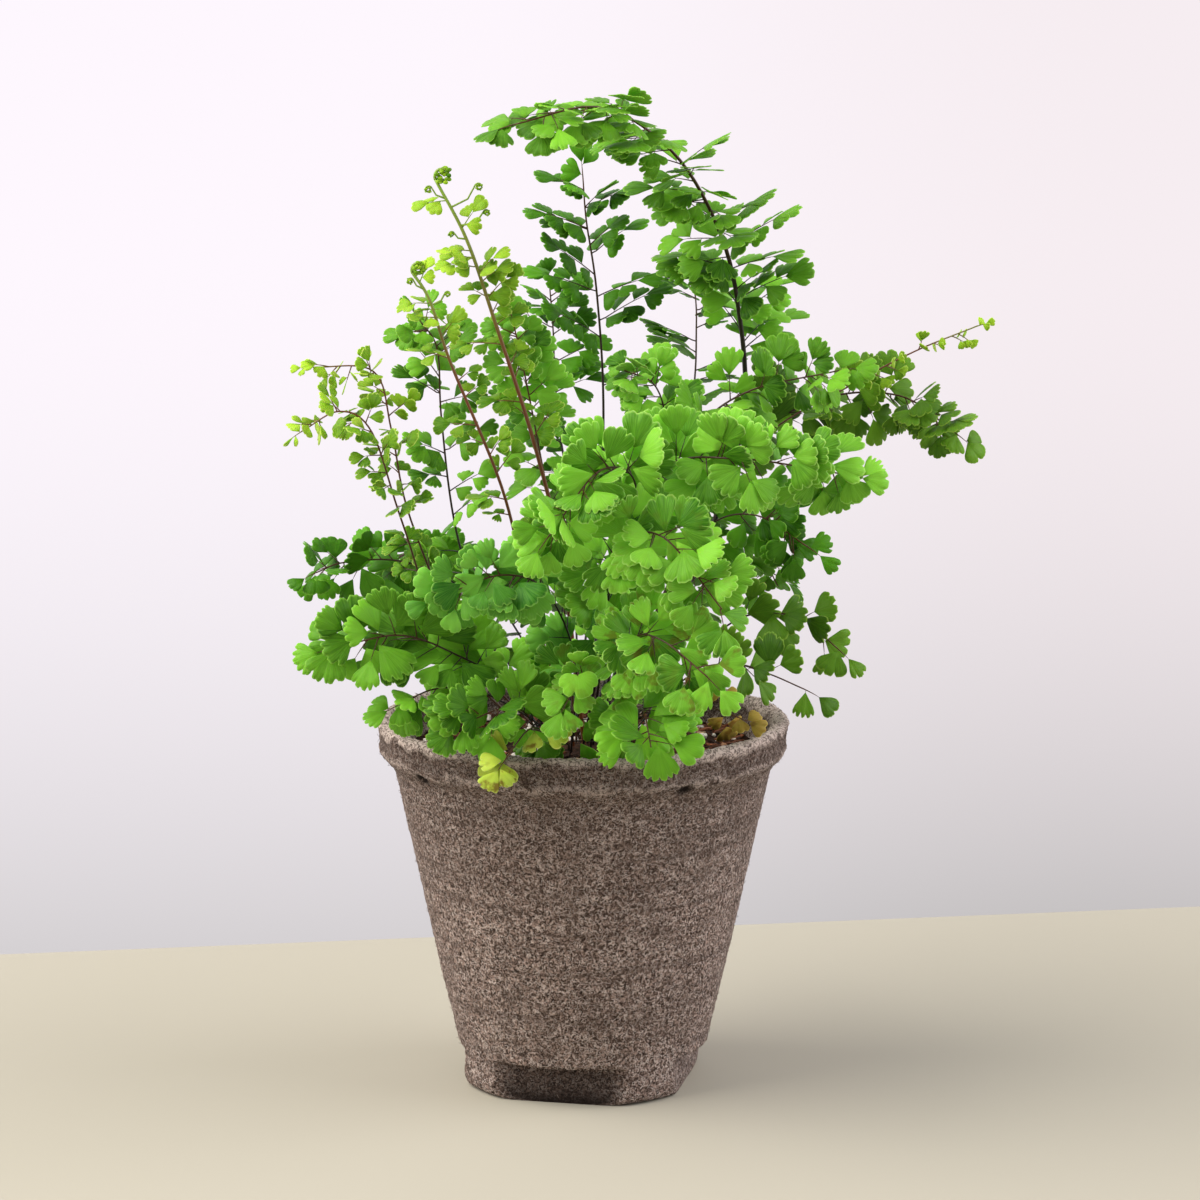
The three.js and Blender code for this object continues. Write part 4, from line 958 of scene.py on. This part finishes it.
def is_clear(points, faces, owner, base, tree):
    """Whether coarse fans stay in the CAD box, above the rim and soil and clear of what is filled."""
    around = np.array(points)
    if np.any(around < low_corner + BOX_MARGIN) or np.any(around > high_corner - BOX_MARGIN):
        return False
    radius = np.hypot(around[:, 0], around[:, 1])
    beside, middle = (np.where(radius > rim, beyond, within)
                      for rim, beyond, within in (BESIDE_LOWEST, MIDDLE_LOWEST))
    lowest = np.where(np.abs(around[:, 0]) > MIDDLE_HALF, beside, middle)
    if np.any((radius < OVER_POT) & (around[:, 2] < lowest)):
        return False
    if BVHTree.FromPolygons([Vector(point) for point in points], faces).overlap(tree):
        return False
    middles = [(around[a] + around[b] + around[c]) / 3 for a, b, c in faces]
    for point in list(points) + middles:
        own_root = np.linalg.norm(point - base) < 5
        for _, _, index, distance in tree.find_nearest_range(Vector(point), CLEAR_OTHERS):
            if filled_owner[index] != owner or (distance < CLEAR_OWN and not own_root):
                return False
    return True


low_corner, high_corner = (np.array(corner) / MM for corner in cad_box)
stipes, pinnae_of = [], []
for owner, frond in enumerate(FRONDS):
    name, bare, pinnae, way = frond.name, frond.bare, frond.pinnae, frond.way
    corners = cad_corners(name)
    x, y, _ = feet[name]
    marks = [np.array([x, y, KNEE_Z])] + [np.array(mark, float) for mark in way]
    steps = len(way) + EXTRA_STEPS
    centres = [np.array([x, y, FOOT_Z])] + [on_curve(marks, step / steps) for step in range(steps + 1)]
    stipes.append(marks)
    fill(*prism_of([centres[0]] + [on_curve(marks, share) for share in np.linspace(0, 1, 40)], 0.8), owner)
    tips = kdtree.KDTree(len(corners))
    for index, corner in enumerate(corners):
        tips.insert(Vector(corner), index)
    tips.balance()
    grown = []
    for number in range(pinnae + 1):
        terminal = number == pinnae
        if terminal and name in COILS:
            continue
        at = 1 if terminal else bare + (0.97 - bare) * (number + 0.5) / pinnae
        if not terminal:
            step = min(int(at * steps), steps - 1)
            at = (step + min(1 - RING_MARGIN, max(RING_MARGIN, at * steps - step))) / steps
        side = 1 if number % 2 == 0 else -1
        for place in pinna_places(frond, owner, marks, centres, at, number, side, terminal):
            if tips.find(Vector(cad_tip(*place)))[2] < 0.05:
                own_draw = random.Random(owner * 1000 + number)
                leaflets, end = plan_pinna(own_draw, name, LOOSE.get(name, (0, 0.14)), *place)
                grown.append((at, place, leaflets, end))
                fill(*fans_of(leaflets), owner)
                break
    pinnae_of.append(grown)

# Further ribs, each where it is clear of what is there
for owner, frond in enumerate(FRONDS):
    name, start = frond.name, frond.start
    marks = stipes[owner]
    draw = random.Random(500 + owner)
    tree = BVHTree.FromPolygons(filled_points, filled_faces)
    for number in range(frond.further):
        at = start + ((0.8 if name in COILS else 0.98) - start) * ((number * 0.618 + 0.3) % 1)
        side = 1 if number % 2 == 0 else -1
        for place in further_places(frond, marks, at, side, draw):
            leaflets, end = plan_pinna(draw, name, LOOSE.get(name, (0, 0.18)), *place)
            points, faces = fans_of(leaflets)
            if is_clear(points, faces, owner, place[0], tree):
                pinnae_of[owner].append((at, place, leaflets, end))
                fill(points, faces, owner)
                tree = BVHTree.FromPolygons(filled_points, filled_faces)
                break


class Sheaf:
    """The points, triangles and marks of one frond while it is put together."""

    def __init__(self):
        self.points, self.triangles, self.flat, self.slots = [], [], [], []
        self.marks = {name: [] for name in ("reach", "sweep", "tone", "under", "age", "young")}
        self.count = 0

    def add(self, points, triangles, slot, flat=None, **marks):
        triangles = np.asarray(triangles, np.int32)
        self.points.append(np.asarray(points, float))
        self.triangles.append(triangles + self.count)
        self.slots.append(np.full(len(triangles), slot))
        self.flat.append(np.zeros(len(triangles), bool) if flat is None else flat)
        for name, values in self.marks.items():
            values.append(np.broadcast_to(np.asarray(marks.get(name, 0.0), float), (len(points),)))
        self.count += len(points)

    def tube(self, line, radii, sides, young):
        """A closed round tube along a line of points, with its radius at each."""
        line = np.asarray(line, float)
        ways = np.gradient(line, axis=0)
        across = np.array([0.31, 0.52, 0.79])
        points = []
        for centre, way, radius in zip(line, ways, radii):
            way = unit(way)
            across = made_square(across, way)
            other = np.cross(way, across)
            for angle in turns_of(sides):
                points.append(centre + radius * (across * math.cos(angle) + other * math.sin(angle)))
        triangles = list(grid_triangles(len(line), sides))
        last = (len(line) - 1) * sides
        for side in range(1, sides - 1):
            triangles += [[0, side + 1, side], [last, last + side, last + side + 1]]
        self.add(points, triangles, STIPE, young=np.repeat(young, sides) if np.ndim(young) else young)


def add_leaflet(sheaf, draw, root, forward, normal, size, tone, age, opening=None, cuts=None):
    """A fan-shaped leaflet: straight lower sides and a rounded outer edge cut into scalloped lobes."""
    side = np.cross(normal, forward)
    opening = opening or math.radians(draw.uniform(35, 55))
    low, high = -opening * draw.uniform(0.86, 1.08), opening * draw.uniform(0.86, 1.08)
    columns = max(14, int((high - low) * size / (0.45 if size > 6 else 0.5)))
    angle = np.linspace(low, high, columns + 1)
    share = (angle - low) / (high - low) * 2 - 1
    edge = 1 - 0.1 * share ** 2 - (0.5 * share ** 4 if cuts else 0.26 * np.abs(share) ** 9)
    if not cuts:
        lobes = draw.choice((3, 3, 4, 5)) if size > LARGE_LEAF else draw.choice((2, 3, 3, 4))
        cuts = [(-0.94 + 1.88 * cut / lobes + draw.uniform(-0.07, 0.07), draw.uniform(0.07, 0.22))
                for cut in range(1, lobes)]
    for middle, depth in cuts:
        gap = np.abs(share - middle)
        edge -= depth * np.clip(1 - gap / 0.11, 0, 1) ** 1.3 + 0.035 * np.clip(1 - gap / 0.35, 0, 1)
    teeth = max(4, round((high - low) * size / (1.6 * TOOTH if size > LARGE_LEAF else TOOTH)))
    edge += draw.uniform(0.008, 0.042) * (np.abs(np.sin((share + 1) / 2 * math.pi * teeth)) - 0.6)
    droop, cup, pleats = draw.uniform(0.02, 0.2), draw.uniform(-0.12, 0.28), draw.uniform(0, 6)
    ring_shares = (0.3, 0.68, 1.0) if size > LARGE_LEAF else (0.5, 1.0)
    points, reach_mark, sweep_mark = [np.zeros((1, 3))], [0.0], [0.5]
    for ring_share in ring_shares:
        ahead, beside = edge * ring_share * np.cos(angle), edge * ring_share * np.sin(angle)
        height = (-droop * ahead ** 2 - cup * beside ** 2
                  + 0.014 * ring_share * np.sin(share * 7 + pleats) + 0.004 * ring_share * np.sin(share * 23))
        points.append(np.stack([ahead, beside, height], -1) * size)
        reach_mark += [ring_share] * (columns + 1)
        sweep_mark += list((share + 1) / 2)
    shape = np.concatenate(points) @ np.stack([forward, side, normal]) + root
    count = len(shape)
    steps = np.arange(columns)
    upper = np.concatenate([np.stack([np.zeros(columns, int), 1 + steps, 2 + steps], -1),
                            grid_triangles(len(ring_shares), columns + 1, 1, closed=False)[:, [0, 2, 1]]])
    starts = [1 + level * (columns + 1) for level in range(len(ring_shares))]
    loop = [0] + starts + list(range(starts[-1] + 1, starts[-1] + columns))
    loop += [first + columns for first in starts[::-1]]
    rim = []
    for a, b in zip(loop, loop[1:] + loop[:1]):
        rim += [[a + count, b + count, b], [a + count, b, a]]
    triangles = np.concatenate([upper, upper[:, ::-1] + count, np.array(rim)])
    flat = np.arange(len(triangles)) >= 2 * len(upper)
    both = np.concatenate([shape + normal * BLADE_THICK / 2, shape - normal * BLADE_THICK / 2])
    sheaf.add(both, triangles, BLADE, flat, reach=reach_mark * 2, sweep=sweep_mark * 2, tone=tone, age=age,
              under=[0.0] * count + [1.0] * count)


def add_coil(sheaf, draw, start, heading, inward, radius, thick):
    """A tightly coiled young tip, knobbly with leaflets that are still folded."""
    line, radii = [], []
    for step in range(COIL_STEPS):
        share = step / (COIL_STEPS - 1)
        angle = share * COIL_TURNS * 2 * math.pi
        reach = radius * (1 - 0.6 * share)
        line.append(start + heading * (math.sin(angle) * reach)
                    + inward * (radius - math.cos(angle) * reach) + np.array([0, -1, 0]) * share * 0.5)
        radii.append(thick * (1 - 0.45 * share))
    sheaf.tube(line, radii, 8, 1.0)
    for _ in range(COIL_LEAVES):
        step = draw.randrange(5, COIL_STEPS)
        size = radius * draw.uniform(0.2, 0.36)
        shift = unit(np.array([draw.uniform(-1, 1) for _ in range(3)]))
        made = lump(line[step] + shift * size * 0.9, (size, size, size * 0.8), draw.uniform(0, 6), 0.2, draw)
        sheaf.add(made, hull_triangles(made), BLADE, reach=0.5, sweep=0.2, tone=draw.uniform(0.0, 1))


# Leaflet blades: thin living leaf, satin above and paler below, with fine veins that fan out
# towards a thin yellow-green edge. A little light comes through them. Each tone has a shade, a light
# and an edge colour.
BLADE_COLOURS = {
    "mid": ("285a0a", "7cbe30", "9cd254"),
    "dark": ("225006", "589a1c", "7eb640"),
    "bright": ("2e6a0a", "92d840", "bcec78"),
    "pale": ("3c760a", "a6ce32", "d2ea70"),
    "blue": ("286a1a", "7ec246", "a2da66"),
    "olive": ("30590e", "6a9a26", "9abc48"),
    "yellow": ("8a9a28", "b6cc48", "d6e27c"),
    "brown": ("84702e", "ba9e48", "ccb464"),
}


def blade_material(tone_name, shade, light, edge):
    """The leaf blade of one tone."""
    made, tree, shader = new_material("fern blade " + tone_name, Roughness=0.46, Specular_IOR_Level=0.11,
                                      Subsurface_Weight=0.3, Subsurface_Radius=(0.5, 1.0, 0.1),
                                      Subsurface_Scale=0.5 * MM)
    place = add(tree, "TexCoord", output="Object")
    read = {name: add(tree, "Attribute", output="Fac", attribute_name=name)
            for name in ("reach", "sweep", "tone", "under", "age")}
    times = (("sweep", 26.0), ("reach", 1.6), ("tone", 41.0), ("sweep", 56.0), ("under", 0.25))
    across, outward, other, turn, below = (
        add(tree, "Math", {0: read[name], 1: factor}, operation="MULTIPLY") for name, factor in times)
    fan = add(tree, "CombineXYZ", {0: across, 1: outward, 2: other})
    streak = add(tree, "TexNoise", {"Vector": fan, "Scale": 1.0, "Detail": 2.0})
    # About 18 veins lie at the zeros of this wave, half of a real leaflet's: all would be too fine to show.
    wave = add(tree, "Math", {0: turn}, operation="SINE")
    wave = add(tree, "Math", {0: wave}, operation="ABSOLUTE")
    vein = add(tree, "MapRange", {0: wave, 1: 0.4, 2: 0.0, 4: 0.14})
    streaked = add(tree, "MapRange", {0: streak, 1: 0.35, 2: 0.75, 4: 0.35})
    rim = add(tree, "MapRange", {0: read["reach"], 1: 0.94, 2: 1.0, 4: 0.55})
    blotch = add(tree, "TexNoise", {"Vector": place, "Scale": 1 / (3.5 * MM), "Detail": 3.0})
    blotch = add(tree, "MapRange", {0: blotch, 1: 0.54, 2: 0.64})
    spoiled = add(tree, "Math", {0: blotch, 1: read["age"]}, operation="MULTIPLY")
    colour = add(tree, "Mix", {0: read["tone"], 6: shade, 7: light}, 2, data_type="RGBA")
    coats = ((streaked, light), (vein, edge), (rim, edge), (below, edge), (spoiled, "6b4218"))
    for share, coat in coats:
        colour = add(tree, "Mix", {0: share, 6: colour, 7: coat}, 2, data_type="RGBA")
    tree.links.new(colour, shader.inputs["Base Color"])
    relief = add(tree, "Math", {0: vein, 1: streak}, operation="ADD")
    tree.links.new(add(tree, "Bump", {"Strength": 0.4, "Distance": 0.1 * MM, "Height": relief}),
                   shader.inputs["Normal"])
    return made


blades = {name: blade_material(name, *colours) for name, colours in BLADE_COLOURS.items()}

# Stipes and ribs: hard and polished like black wire, red-brown when younger, green at a coiled tip
stipe_skin, tree, shader = new_material("polished stipe", Roughness=0.32, Specular_IOR_Level=0.4)
young = add(tree, "Attribute", output="Fac", attribute_name="young")
reddening = add(tree, "MapRange", {0: young, 1: 0.0, 2: 0.55})
greening = add(tree, "MapRange", {0: young, 1: 0.6, 2: 0.95})
colour = "150d0a"
for share, shade in ((reddening, "6e3c1c"), (greening, "86a63c")):
    colour = add(tree, "Mix", {0: share, 6: colour, 7: shade}, 2, data_type="RGBA")
tree.links.new(colour, shader.inputs["Base Color"])


def youth_at(name, share):
    """How young a frond's stipe is at a share of its length."""
    low, high = YOUNG.get(name, USUAL_YOUNG)
    return low + (high - low) * max(0, (share - 0.35) / 0.65)


for owner, frond in enumerate(FRONDS):
    name = frond.name
    tone_name = "olive" if name in OLIVE else frond.tone
    marks = stipes[owner]
    draw = random.Random(100 + owner)
    sheaf = Sheaf()
    base_radius = 0.9 * frond.stem ** 2
    end_radius = 0.45 if name in COILS else 0.2
    shares = np.linspace(0, 1, 46)
    line = [np.array([marks[0][0], marks[0][1], FOOT_Z])] + [on_curve(marks, share) for share in shares]
    radii = [base_radius] + [base_radius + (end_radius - base_radius) * share ** 1.3 for share in shares]
    sheaf.tube(line, radii, 9, np.array([youth_at(name, share) for share in (0, *shares)]))
    for number, (at, (base, along, _, length, _), leaflets, end) in enumerate(pinnae_of[owner]):
        young = youth_at(name, at)
        ribs = [rib_point(base, along, length, end * share) for share in (0.15, 0.4, 0.7, 1)]
        sheaf.tube([on_curve(marks, at)] + ribs, [0.22, 0.2, 0.17, 0.14, 0.1], 5, young)
        pinna_tone = draw.uniform(0.12, 0.9)
        if tone_name == "pale":
            # The leaves of young fronds are yellower the nearer they are to the tip.
            pinna_tone = min(0.9, max(0.0, 1.9 * at - 0.95 + draw.uniform(-0.2, 0.2)))
        for leaf_number, (root, leaf_root, forward, normal, size) in enumerate(leaflets):
            bend = BENT_CLEAR.get((name, number, leaf_number), 0)
            beside = np.cross(forward, normal)
            forward, normal = turned_by(forward, beside, bend), turned_by(normal, beside, bend)
            sheaf.tube([root, leaf_root + forward * size * 0.08], [0.09, 0.07], 3, young)
            tone = min(1, max(0, draw.gauss(pinna_tone, 0.16)))
            age = AGED.get(name, 0) * draw.choice((0.3, 1, 1))
            add_leaflet(sheaf, draw, leaf_root, forward, normal, size, tone, age)
    if name == "heart_front":
        add_leaflet(sheaf, draw, on_curve(marks, 1) + HEART_SHIFT, *HEART_WAYS, HEART_SIZE, 0.9, 0.15,
                    HEART_OPENING, HEART_CUTS)
        sheaf.tube([on_curve(marks, 0.97), on_curve(marks, 1) + HEART_SHIFT * 1.1], [0.2, 0.15], 5, 0.3)
    if name in COILS:
        coil_radius, side_coils = COILS[name]
        heading = heading_at(marks, 1)
        inward = made_square(np.array([1.0, 0, 0]), heading)
        add_coil(sheaf, draw, on_curve(marks, 1) - heading * 0.4, heading, inward, coil_radius, 0.5)
        for at, way, length, coil_radius in side_coils:
            start, way = on_curve(marks, at), unit(np.array(way, float))
            bend = start + way * length * 0.6
            rise = unit(way + np.array([0, 0, 1.2]))
            top = bend + rise * length * 0.5
            sheaf.tube([start, (start + bend) / 2, bend, (bend + top) / 2, top],
                       [0.32, 0.3, 0.28, 0.26, 0.24], 6, 1.0)
            add_coil(sheaf, draw, top, rise, made_square(way, rise), coil_radius, 0.26)

    piece = mesh_piece("frond_" + name, np.concatenate(sheaf.points), np.concatenate(sheaf.triangles),
                       [blades[tone_name], stipe_skin], np.concatenate(sheaf.slots),
                       np.concatenate(sheaf.flat),
                       {mark: np.concatenate(values) for mark, values in sheaf.marks.items()})
    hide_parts(name)
    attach(piece, "root")
